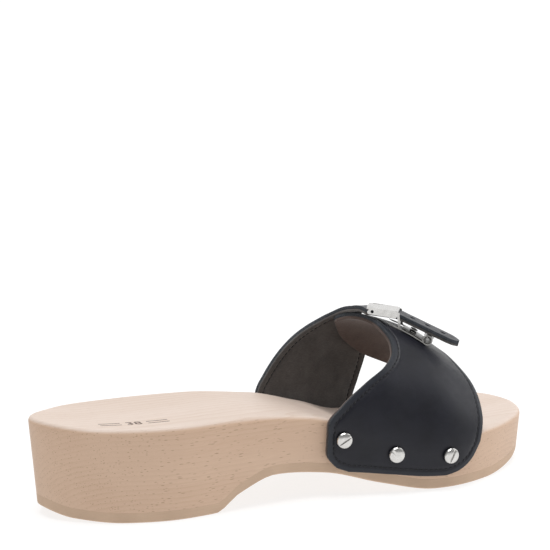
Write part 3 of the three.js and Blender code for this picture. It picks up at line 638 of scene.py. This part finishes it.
# The digits as flat points and faces, scaled to the mark's height.
def markDigits():
    words = bpy.data.curves.new("sizeDigits", "FONT")
    words.body = sizeMark["text"]
    words.size = sizeMark["height"] * 1.4
    words.resolution_u = 4
    drawn = bpy.data.objects.new("sizeDigits", words)
    mesh = bpy.data.meshes.new_from_object(drawn)
    bpy.data.objects.remove(drawn)
    flat = np.empty(len(mesh.vertices) * 3)
    mesh.vertices.foreach_get("co", flat)
    flat = flat.reshape(-1, 3)[:, :2]
    flat -= flat.min(0)
    flat *= sizeMark["height"] / flat[:, 1].max()
    return flat, [list(face.vertices) for face in mesh.polygons]


# Heights of flat places on a piece's top, each on the plane that touches the piece at its nearest top
# point.
def heightsOn(piece, places):
    count = len(piece.data.vertices)
    points, facing = np.empty(count * 3), np.empty(count * 3)
    piece.data.vertices.foreach_get("co", points)
    piece.data.vertices.foreach_get("normal", facing)
    points, facing = points.reshape(-1, 3), facing.reshape(-1, 3)
    up = facing[:, 2] > 0.9
    points, facing = points[up], facing[up]
    nearest = nearestIn(places, points[:, :2])
    away = places - points[nearest, :2]
    return points[nearest, 2] - (away * facing[nearest, :2]).sum(-1) / facing[nearest, 2]


def addSizeMark():
    digits, faces = markDigits()
    width = digits[:, 0].max()
    digits[:, 0] += sizeMark["barLength"] + sizeMark["barGap"]
    far = sizeMark["barLength"] + 2 * sizeMark["barGap"] + width
    flat, total, steps = [digits], len(digits), sizeMark["barSteps"]
    for left in (0.0, far):
        for low in (sizeMark["barInset"], sizeMark["height"] - sizeMark["barInset"] - sizeMark["barWidth"]):
            x = np.linspace(left, left + sizeMark["barLength"], steps)
            edges = [np.stack([x, np.full(steps, y)], -1) for y in (low, low + sizeMark["barWidth"])]
            flat += edges
            faces += gridFaces(2, steps, start=total).tolist()
            total += 2 * steps
    spots = np.concatenate(flat)
    cos, sin = math.cos(sizeMark["heading"]), math.sin(sizeMark["heading"])
    along = sizeMark["start"][0] + spots[:, 0] * cos + spots[:, 1] * sin
    across = sizeMark["start"][1] + spots[:, 0] * sin - spots[:, 1] * cos
    points = place(along, across, 0.0) / 1000
    points[:, 2] = heightsOn(footbed, points[:, :2]) + sizeMark["thickness"] / 2000
    mesh = bpy.data.meshes.new("sizeMark")
    mesh.from_pydata(points.tolist(), [], faces)
    tidyMesh(mesh, 1e-7)
    piece = addObject("sizeMark", mesh)
    solid = piece.modifiers.new("thickness", "SOLIDIFY")
    solid.thickness = sizeMark["thickness"] / 1000
    solid.offset = 0.0
    return piece


mark = addSizeMark()
mark.data.materials.append(materials["ink"])
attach(mark, "shoe")
print("sole made")

# The arch over the foot that both straps lie on.
arch = {
    "wallGap": 0.5, "tuck": 3.0, "outerFullness": 1.95, "innerFullness": 2.4, "crownShift": -2.0,
    "instep": [
        [112, 77.5], [135, 76], [150, 74], [165, 70.5], [176, 67], [183, 63.8], [190, 59.6], [200, 53],
        [212, 45],
    ],
    "hem": [[118, 13], [134, 11.6], [152, 9.4], [170, 7.2], [180, 6.8], [200, 7]],
}
instepUp, hemUp = lineThrough(arch["instep"]), lineThrough(arch["hem"])


# A turn from 0 to pi goes over the foot on half a superellipse, from the sole's outer edge to its inner
# one. Below 0 and above pi it goes down the side wall, by that share of the way to the strap's hem.
def archPoint(along, turn):
    outer = outerAcross(along) + arch["wallGap"]
    inner = innerAcross(along) - arch["wallGap"]
    base = edgeUp(along) - arch["tuck"]
    depth = np.maximum(np.maximum(-turn, turn - math.pi), 0) * (base - hemUp(along))
    over = np.clip(turn, 0, math.pi)
    power = 2 / np.where(over < math.pi / 2, arch["outerFullness"], arch["innerFullness"])
    reach = np.sign(np.cos(over)) * np.abs(np.cos(over)) ** power
    half = (outer - inner) / 2 - (arch["tuck"] + depth) * sole["draft"]
    across = (outer + inner) / 2 + half * reach + arch["crownShift"] * np.sin(over) ** 2
    return place(along, across, base - depth + (instepUp(along) - base) * np.sin(over) ** power)


def archNormal(along, turn):
    turning = archPoint(along, turn + 0.01) - archPoint(along, turn - 0.01)
    forward = archPoint(along + 0.5, turn) - archPoint(along - 0.5, turn)
    normal = unit(np.cross(forward, turning))
    flat = np.zeros_like(normal)
    flat[..., 0] = -np.cos(turn)
    flat[..., 2] = np.maximum(0, np.sin(turn))
    return normal * np.where((normal * flat).sum(-1, keepdims=True) < 0, -1, 1)


strap = {
    "thickness": 2.6, "seam": 1.0, "underside": -0.35, "gap": 0.3, "round": 0.38, "dent": 0.4,
    "dentReach": 4.4, "groove": 0.36, "grooveWidth": 0.5, "turnScale": 30.0,
}
stitch = {"pitch": 2.4, "length": 1.95, "radius": 0.27, "inset": 3.0}


# The edges of the outer strap as [turn, along], and the slanted end under the inner strap as [along, turn].
outerRear = lineThrough([
    [-1, 134], [-0.9, 128], [-0.6, 123.6], [0, 123.6], [0.24, 131.1], [0.5, 143.3], [0.73, 155.6],
    [0.9, 161.3],
    [1.1, 163.6], [1.5, 163.2], [2, 160],
])
outerFront = lineThrough([
    [-1, 178], [-0.85, 185], [-0.5, 191.5], [0, 196], [0.3, 199.2], [0.7, 200.5], [1.1, 198.5],
    [1.6, 198.5],
    [2, 202], [2.5, 204.5],
])
tabEnd = lineThrough([[159, 2], [168, 2.27], [175, 2.39], [188, 2.5], [205, 2.53]])


def lift(along, turn):
    end = np.where(along < 159, 2, tabEnd(along))
    return (strap["thickness"] + strap["gap"]) * smoothStep(0, 0.8, end + 0.9 - turn)


# The tongue's own directions: run goes forward and outward from the rear of the buckle plate, side is
# across it.
tongue = {
    "heading": math.radians(38), "start": (164.9, 1.2), "width": 10.6, "reach": 42.0,
    "top": [[-4, 77], [0, 76.9], [7, 76.2], [14.5, 75.2], [20, 72.9], [30, 68.3], [42, 62.8]], "bulge": 0.9,
    "holes": [[5.8, 2.3], [20.5, 1.4], [27.5, 1.4], [34.5, 1.4]], "holeSteps": 20, "cutterReach": 5.0,
}
tongueUp = lineThrough(tongue["top"])


def overTongue(run, side):
    forward, sideways = math.cos(tongue["heading"]), math.sin(tongue["heading"])
    along = tongue["start"][0] + run * forward + side * sideways
    return along, tongue["start"][1] + run * sideways - side * forward


# A smooth edge through [along, turn] points, for shares of the way from the hem to the buckle. A turn of 1
# counts as much as turnScale millimetres along the shoe.
def edgeThrough(points):
    curve = curveThrough(np.array(points) * [1, strap["turnScale"]], False)
    return lambda share: curve(share) / [1, strap["turnScale"]]


innerRear = edgeThrough([
    [136, math.pi + 1], [131, math.pi + 0.95], [126, math.pi + 0.75], [123, math.pi + 0.4], [122.8, math.pi],
    [128.3, 2.93], [134.8, 2.72], [143, 2.5], [150.3, 2.34], [156, 2.2], [159.5, 2.05], [160.5, 1.88],
    [160.6, 1.72],
])
innerFront = edgeThrough([
    [172, math.pi + 1], [178, math.pi + 0.95], [181.5, math.pi + 0.75], [182, math.pi + 0.4],
    [182.8, math.pi], [187.4, 2.88], [189, 2.66], [187.8, 2.47], [184, 2.31], [180, 2.17], [175.5, 2.03],
    [171.5, 1.9], [168.7, 1.8],
])


# Rows of control points of the outer strap: turns between its two edges, then the slanted end.
def outerRows(height, columns=36):
    share = np.linspace(0, 1, columns + 1)[None, :]
    turn = np.linspace(-1, 2, 76)[:, None]
    along = mix(outerRear(turn), outerFront(turn), share)
    turn = np.broadcast_to(turn, along.shape)
    endAlong = along[-1:]
    endTurn = mix(2.0, tabEnd(endAlong) + 0.02, np.linspace(0, 1, 9)[1:, None])
    along = np.concatenate([along, np.broadcast_to(endAlong, endTurn.shape)])
    turn = np.concatenate([turn, endTurn])
    return archPoint(along, turn) + archNormal(along, turn) * height


# Rows of the inner strap: across its two edges up to the buckle, then square to the tongue down to its
# tip, where the half width shrinks as the root of 1 - t^2.6.
def innerRows(height, columns=28):
    share = np.linspace(0, 1, columns + 1)[None, :]
    way = np.linspace(0, 1, 60)
    rear, front = innerRear(way), innerFront(way)
    along = mix(rear[:, :1], front[:, :1], share)
    turn = mix(rear[:, 1:], front[:, 1:], share)
    upper = archPoint(along, turn) + archNormal(along, turn) * (lift(along, turn) + height)[..., None]
    tipRuns = [36, 37.5, 38.8, 39.8, 40.6, 41.2, 41.6, 41.85, 42]
    run = np.concatenate([np.arange(0, 36, 2.0), tipRuns])[:, None]
    tip = np.clip((run - (tongue["reach"] - 6)) / 6, 0, 1)
    half = tongue["width"] / 2 * np.sqrt(np.maximum(0.12, 1 - tip**2.6))
    slope = tongueUp(run + 0.5) - tongueUp(run - 0.5)
    drop = strap["thickness"] - height
    tongueAlong, tongueAcross = overTongue(run + drop * slope, mix(-half, half, share))
    lower = place(tongueAlong, tongueAcross, tongueUp(run) - drop)
    joining = np.array([0.25, 0.5, 0.75])[:, None, None]
    between = mix(upper[-1:], lower[:1], joining)
    between[..., 2] += tongue["bulge"] * np.sin(math.pi * joining[..., 0])
    return np.concatenate([upper, between, lower])


# Cubic pieces through rows of points, at distances along the mean line through the rows.
def throughRows(rows, spots):
    length = np.concatenate([[0], np.cumsum(np.linalg.norm(np.diff(rows, axis=0), axis=-1).mean(1))])
    slope = np.gradient(rows, length, axis=0)
    spots = spots(length[-1])
    i = np.clip(np.searchsorted(length, spots) - 1, 0, len(length) - 2)
    gap = (length[i + 1] - length[i])[:, None, None]
    w = ((spots - length[i])[:, None, None]) / gap
    start = rows[i] * (2 * w**3 - 3 * w**2 + 1) + slope[i] * gap * (w**3 - 2 * w**2 + w)
    return start + rows[i + 1] * (3 * w**2 - 2 * w**3) + slope[i + 1] * gap * (w**3 - w**2)


# Distances across a width: close together near both edges, even between.
def spacing(width, step):
    near = np.array([0, 0.01, 0.04, 0.1, 0.2, 0.34, 0.6, 1.0, 1.6, 2.2, 2.7, 3.0, 3.3, 3.6, 3.9, 4.4])
    near = near[near < width * 0.42]
    count = max(4, int((width - 2 * near[-1]) / step))
    even = np.linspace(near[-1], width - near[-1], count + 1)[1:-1]
    return np.concatenate([near, even, width - near[::-1]])


# A fine grid over a strap: rows by distance along it, and in each row columns by distance from its two
# edges.
def fineGrid(rows, step):
    rows = throughRows(rows, lambda length: spacing(length, step))
    width = np.linalg.norm(np.diff(rows, axis=1), axis=-1).sum(1)
    template = spacing(width.mean(), step)
    near = 16
    inner = (template[near:-near] - template[near - 1]) / (template[-near] - template[near - 1])
    shrink = np.minimum(1, width / (2.5 * template[near - 1]))[:, None]
    left = template[:near][None, :] * shrink
    middle = mix(left[:, -1:], width[:, None] - left[:, -1:], inner[None, :])
    columns = np.concatenate([left, middle, width[:, None] - left[:, ::-1]], 1) / width[:, None]
    spot = columns * (rows.shape[1] - 1)
    i = np.clip(np.floor(spot).astype(int), 0, rows.shape[1] - 2)
    w = (spot - i)[..., None]
    padded = np.concatenate([2 * rows[:, :1] - rows[:, 1:2], rows, 2 * rows[:, -1:] - rows[:, -2:-1]], 1)
    pick = np.arange(len(rows))[:, None]
    a, b, c, d = (padded[pick, i + k] for k in range(4))
    return b + 0.5 * w * (c - a + w * (2 * a - 5 * b + 4 * c - d + w * (3 * (b - c) + d - a)))


# The grid's border as one closed line of points.
def borderOf(grid):
    return np.concatenate([grid[0], grid[1:, -1], grid[-1, -2::-1], grid[-2:0:-1, 0]])


# Distance from every point of a grid to the nearest piece of its border.
def fromBorder(grid):
    start = borderOf(grid)
    end = np.roll(start, -1, 0)
    way = end - start
    size = np.maximum((way**2).sum(-1), 1e-12)
    best = np.empty(grid.shape[:2])
    for i, row in enumerate(grid):
        gone = row[:, None] - start[None]
        t = np.clip((gone * way).sum(-1) / size, 0, 1)
        best[i] = np.linalg.norm(gone - way * t[..., None], axis=-1).min(1)
    return best


# The two surfaces of a layer between two heights over the grid. Near the border its thickness closes as
# (1 - (1 - d / round)^4)^(1/4), so a cut edge is blunt with small rounded corners.
def layer(name, grid, low, high, dents=None, sewn=None, sewnBelow=None):
    normal = unit(np.cross(np.gradient(grid, axis=0), np.gradient(grid, axis=1)))
    middle = grid.reshape(-1, 3).mean(0) * [1, 1, 0]
    if ((grid - middle) * normal).sum() < 0:
        normal = -normal
    distance = fromBorder(grid)
    closing = (1 - (1 - np.clip(distance / strap["round"], 0, 1)) ** 4) ** 0.25
    half = (high - low) / 2
    press = np.zeros(grid.shape[:2])
    for centre in dents or []:
        press += strap["dent"] * np.exp(-(np.linalg.norm(grid - centre, axis=-1) / strap["dentReach"]) ** 4)
    centre = grid + normal * ((low + high) / 2 - press[..., None])
    groove = strap["groove"] * np.exp(-(((distance - stitch["inset"]) / strap["grooveWidth"]) ** 2))
    above = groove * (0 if sewn is None else sewn)
    below = groove * (0 if sewnBelow is None else sewnBelow)
    top = centre + normal * (half * closing - above)[..., None]
    bottom = centre - normal * (half * closing - below)[..., None]
    count = grid.shape[0] * grid.shape[1]
    faces = np.concatenate([gridFaces(*grid.shape[:2]), gridFaces(*grid.shape[:2], start=count, flip=True)])
    cut = 1 - smoothStep(0.14, 0.34, distance)
    points = np.stack([top, bottom])
    values = {"cut": np.stack([cut, cut]), "fromEdge": np.stack([distance, distance])}
    values["warm"] = np.full((2, *distance.shape), float(name.startswith("outer")))
    return addMesh(name, points, faces, values), top, bottom, normal


# Cuts the tongue's holes, of [run, radius], through a layer: a round cutter stands square to the tongue at
# each run. The first hole leaves room for the lever's peg, which slants through it.
def cutHoles(piece):
    steps = tongue["holeSteps"]
    angle = (np.arange(steps) / steps * 2 * math.pi)[:, None]
    caps = [list(range(steps)), list(range(2 * steps - 1, steps - 1, -1))]
    for run, radius in tongue["holes"]:
        up, slope = float(tongueUp(run)), float(tongueUp(run + 0.5) - tongueUp(run - 0.5))
        middle = place(*overTongue(run, 0.0), up)
        ahead = unit(place(*overTongue(run + 1.0, 0.0), up + slope) - middle)
        aside = unit(place(*overTongue(run, 1.0), up) - middle)
        square = np.cross(ahead, aside) * tongue["cutterReach"]
        circle = middle + (ahead * np.cos(angle) + aside * np.sin(angle)) * radius
        points = np.concatenate([circle + square, circle - square])
        mesh = bpy.data.meshes.new("cutter")
        mesh.from_pydata((points / 1000).tolist(), [], gridFaces(2, steps, wrap=True).tolist() + caps)
        tidyMesh(mesh, 1e-7)
        cutter = addObject("cutter", mesh)
        boolean = piece.modifiers.new("hole", "BOOLEAN")
        boolean.operation = "DIFFERENCE"
        boolean.solver = "EXACT"
        boolean.object = cutter
        whole = piece.evaluated_get(bpy.context.evaluated_depsgraph_get())
        cutMesh = bpy.data.meshes.new_from_object(whole)
        piece.modifiers.clear()
        bpy.data.objects.remove(cutter)
        piece.data = cutMesh
    print("holes cut in", piece.name)


# Middle of a CAD node's box, in millimetres.
def middleOf(node):
    low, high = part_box(node)
    return np.array((low + high) / 2) * 1000


def screwDents(side):
    return [middleOf(f"{side}_screw_{spot}") for spot in ("rear", "middle", "front")]


# How far the seam goes along a strap, as shares of its length on its rear and front edges.
seamEnds = {"outer": (0.66, 0.86), "inner": (0.5, 0.46)}
straps = {}
for side, rows, step in (("outer", outerRows, 1.3), ("inner", innerRows, 1.2)):
    grid = fineGrid(rows(strap["seam"]), step)
    share = np.linspace(0, 1, len(grid))[:, None]
    ends = mix(*seamEnds[side], np.linspace(0, 1, grid.shape[1])[None, :])
    sewn = smoothStep(0.03, -0.01, share - ends)
    top = strap["thickness"] - strap["seam"]
    bottom = -strap["seam"] + (strap["underside"] if side == "outer" else 0)
    leatherPiece, above, _, normal = layer(f"{side}StrapLeather", grid, 0.0, top, screwDents(side), sewn)
    liningPiece, _, below, _ = layer(f"{side}StrapLining", grid, bottom, -0.02, sewnBelow=sewn)
    if side == "inner":
        cutHoles(leatherPiece)
        cutHoles(liningPiece)
    finish(leatherPiece, "leather", "shoe", f"{side}_strap")
    finish(liningPiece, "lining", "shoe", f"{side}_strap_lining")
    straps[side] = grid, above, below, normal
print("straps made")

# Stitches along a path: each is a bar of thread whose middle lies in the groove and whose ends dive into
# it.
def stitchShapes(path, normals):
    length = np.concatenate([[0], np.cumsum(np.linalg.norm(np.diff(path, axis=0), axis=-1))])
    centres = np.arange(stitch["pitch"] / 2, length[-1], stitch["pitch"])
    q = np.array([-1, -0.8, -0.35, 0.35, 0.8, 1])
    spots = centres[:, None] + q[None, :] * stitch["length"] / 2

    def sample(table):
        return np.stack([np.interp(spots, length, table[:, k]) for k in range(3)], -1)

    centre, normal = sample(path), unit(sample(normals))
    tangent = unit(sample(np.gradient(path, length, axis=0)))
    sideways = unit(np.cross(tangent, normal))
    centre = centre + normal * (stitch["radius"] * (0.35 - 1.6 * q**4))[None, :, None]
    radius = stitch["radius"] * np.array([0, 0.75, 1, 1, 0.75, 0])
    angle = np.arange(6) / 6 * 2 * math.pi
    ring = normal[:, :, None] * np.cos(angle)[:, None] + sideways[:, :, None] * np.sin(angle)[:, None]
    points = centre[:, :, None] + ring * radius[None, :, None, None]
    return points


# All the stitches of several seam lines in one mesh.
def addStitches(name, lines):
    points = np.concatenate([stitchShapes(*line) for line in lines])
    each = gridFaces(points.shape[1], 6, wrap=True)
    faces = (each[None] + (np.arange(len(points)) * points.shape[1] * 6)[:, None, None]).reshape(-1, 4)
    return addMesh(name, points, faces, merge=5e-7)


# A line's points, each averaged with the four on either side.
def smoothed(line):
    padded = np.pad(line, ((4, 4), (0, 0)), "edge")
    return np.stack([np.convolve(padded[:, k], np.ones(9) / 9, "valid") for k in range(3)], -1)


# The seam line: a stretch of the grid's border moved in by the inset, square to the border and along the
# surface, and then lifted onto the leather. Points that come nearer to another stretch of the border are
# left out.
def seamLine(grid, surface, normal, start, end):
    columns = grid.shape[1]
    rear, front = (np.arange(0, int(share * len(grid))) for share in (start, end))
    middle = np.arange(0, columns)
    rows = np.concatenate([rear[::-1], np.zeros(columns, int), front])
    cols = np.concatenate([np.zeros(len(rear), int), middle, np.full(len(front), columns - 1)])
    border, up = grid[rows, cols], normal[rows, cols]
    keep = np.concatenate([[True], np.linalg.norm(np.diff(border, axis=0), axis=-1) > 1e-3])
    border, up = border[keep], up[keep]
    length = np.concatenate([[0], np.cumsum(np.linalg.norm(np.diff(border, axis=0), axis=-1))])
    even = np.arange(0, length[-1], 0.5)
    border, up = (np.stack([np.interp(even, length, v[:, k]) for k in range(3)], -1) for v in (border, up))
    inward = unit(np.cross(unit(up), np.gradient(border, axis=0)))
    flat = grid.reshape(-1, 3)
    centre = grid[np.maximum(rows, 24), columns // 2][keep]
    centre = np.stack([np.interp(even, length, centre[:, k]) for k in range(3)], -1)
    inward *= np.sign(((centre - border) * inward).sum(-1, keepdims=True))
    path = border + inward * stitch["inset"]
    rim = borderOf(grid)
    nearest = np.linalg.norm(rim[nearestIn(path, rim)] - path, axis=-1)
    path = path[nearest > stitch["inset"] * 0.93]
    index = nearestIn(path, flat)
    on, facing = surface.reshape(-1, 3)[index], normal.reshape(-1, 3)[index]
    path = path + facing * ((on - path) * facing).sum(-1, keepdims=True)
    return smoothed(path), unit(smoothed(facing))


for side, (grid, above, below, normal) in straps.items():
    lines = [seamLine(grid, above, normal, *seamEnds[side]), seamLine(grid, below, -normal, *seamEnds[side])]
    stitches = addStitches(f"{side}Stitches", lines)
    finish(stitches, "thread", "shoe", f"{side}_strap_thread")
print("stitches made")

# The metal parts.
metal = {
    "bevel": 0.14, "sharpAngle": 32.0, "agedUnder": (73.5, 71.0), "leverAge": 0.75, "hiddenAge": 0.95,
}


# A copy of a CAD node with its loose triangles merged, flat faces made whole, and its edges rounded.
def refined(node, name, bevel=None):
    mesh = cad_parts[node].data.copy()
    mesh.name = name
    bm = bmesh.new()
    bm.from_mesh(mesh)
    bmesh.ops.remove_doubles(bm, verts=bm.verts, dist=2e-6)
    bmesh.ops.dissolve_limit(bm, angle_limit=math.radians(1.5), verts=bm.verts, edges=bm.edges)
    bm.to_mesh(mesh)
    bm.free()
    mesh.shade_smooth()
    mesh.set_sharp_from_angle(angle=math.radians(metal["sharpAngle"]))
    spots = np.empty(len(mesh.vertices) * 3)
    mesh.vertices.foreach_get("co", spots)
    # Painted shade: the lever darkens below the height where the tongue shades it, the other buckle parts
    # are darkened all over, and the screws not at all.
    high, low = metal["agedUnder"]
    depth = smoothStep(0, high - low, high - spots[2::3] * 1000)
    aged = depth * metal["leverAge"] if node == "buckle_lever" else np.full(len(depth), metal["hiddenAge"])
    aged = aged * ("screw" not in node)
    addValues(mesh, "aged", aged)
    piece = addObject(name, mesh)
    rounding = piece.modifiers.new("rounding", "BEVEL")
    rounding.width = (bevel or metal["bevel"]) / 1000
    rounding.segments = 3
    rounding.limit_method = "ANGLE"
    rounding.angle_limit = math.radians(metal["sharpAngle"])
    rounding.harden_normals = True
    return piece


metalNodes = [name for name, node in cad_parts.items() if "screw" in name or "buckle" in name]
for node in sorted(metalNodes):
    words = node.split("_")
    name = words[0] + "".join(word.capitalize() for word in words[1:]) + "Metal"
    finish(refined(node, name), "nickel", "lever" if node == "buckle_lever" else "shoe", node)
print("metal made:", len(metalNodes))

# The floor, the light and the camera.
stage = {
    "floorColour": (0.25, 0.25, 0.25), "floorGlow": 0.78, "floorReach": 40000.0, "floorDrop": 0.0002,
    "worldStrength": 0.3, "behind": (0.9, -0.42, 0.0), "behindStrength": 1.0, "wallSeen": 1.05,
    "sunStrength": 2.3, "sunAngle": 38.0, "sunFrom": (-0.08, 0.06, 1.0),
    "keyPower": 2.2, "keySize": 0.6, "keyPlace": (-0.3, -0.85, 0.45), "keyAim": (0.0, -0.075, 0.03),
}


def addStage():
    corners = np.array([[-1, -1, 0], [1, -1, 0], [1, 1, 0], [-1, 1, 0]]) * stage["floorReach"]
    floor = addMesh("floor", corners, np.array([[0, 1, 2, 3]]))
    material, tree, shader = startMaterial("floorPaper")
    shader.inputs["Base Color"].default_value = (*stage["floorColour"], 1)
    shader.inputs["Roughness"].default_value = 0.9
    shader.inputs["Specular IOR Level"].default_value = 0.1
    shader.inputs["Emission Color"].default_value = (1, 1, 1, 1)
    shader.inputs["Emission Strength"].default_value = stage["floorGlow"]
    floor.data.materials.append(material)
    floor.location.z = -stage["floorDrop"]
    world = bpy.data.worlds.new("studio")
    bpy.context.scene.world = world
    world.use_nodes = True
    world.node_tree.nodes["Background"].inputs["Color"].default_value = (1, 1, 1, 1)
    # The studio's far wall is brighter than the rest, which the metal mirrors.
    tree = world.node_tree
    way = addNode(tree, "TexCoord").outputs["Generated"]
    inputs = {0: way, 1: stage["behind"]}
    away = addNode(tree, "VectorMath", inputs, operation="DOT_PRODUCT").outputs["Value"]
    strength = rangeNode(tree, away, 0.2, 0.9, stage["worldStrength"], stage["behindStrength"], "SMOOTHSTEP")
    # Seen directly, the wall is as pale as the floor.
    seen = mathNode(tree, "MULTIPLY", addNode(tree, "LightPath").outputs["Is Camera Ray"], stage["wallSeen"])
    strength = mathNode(tree, "MAXIMUM", strength, seen)
    tree.links.new(strength, tree.nodes["Background"].inputs["Strength"])
    sun = bpy.data.lights.new("overhead", "SUN")
    sun.energy = stage["sunStrength"]
    sun.angle = math.radians(stage["sunAngle"])
    overhead = addObject("overhead", sun)
    overhead.rotation_euler = Vector(stage["sunFrom"]).to_track_quat("Z", "Y").to_euler()
    soft = bpy.data.lights.new("softbox", "AREA")
    soft.energy = stage["keyPower"]
    soft.size = stage["keySize"]
    box = addObject("softbox", soft)
    box.location = stage["keyPlace"]
    back = box.location - Vector(stage["keyAim"])
    box.rotation_euler = back.to_track_quat("Z", "Y").to_euler()


camera = {"place": (-0.75538, 0.35586, 0.23125), "aim": (0.01456, -0.07484, 0.09286), "lens": 128.58}


def addCamera():
    data = bpy.data.cameras.new("camera")
    data.lens = camera["lens"]
    data.sensor_width = 36.0
    eye = addObject("camera", data)
    eye.location = camera["place"]
    eye.rotation_euler = (Vector(camera["aim"]) - eye.location).to_track_quat("-Z", "Y").to_euler()
    bpy.context.scene.camera = eye


addStage()
addCamera()
bpy.context.scene.view_settings.view_transform = "Standard"
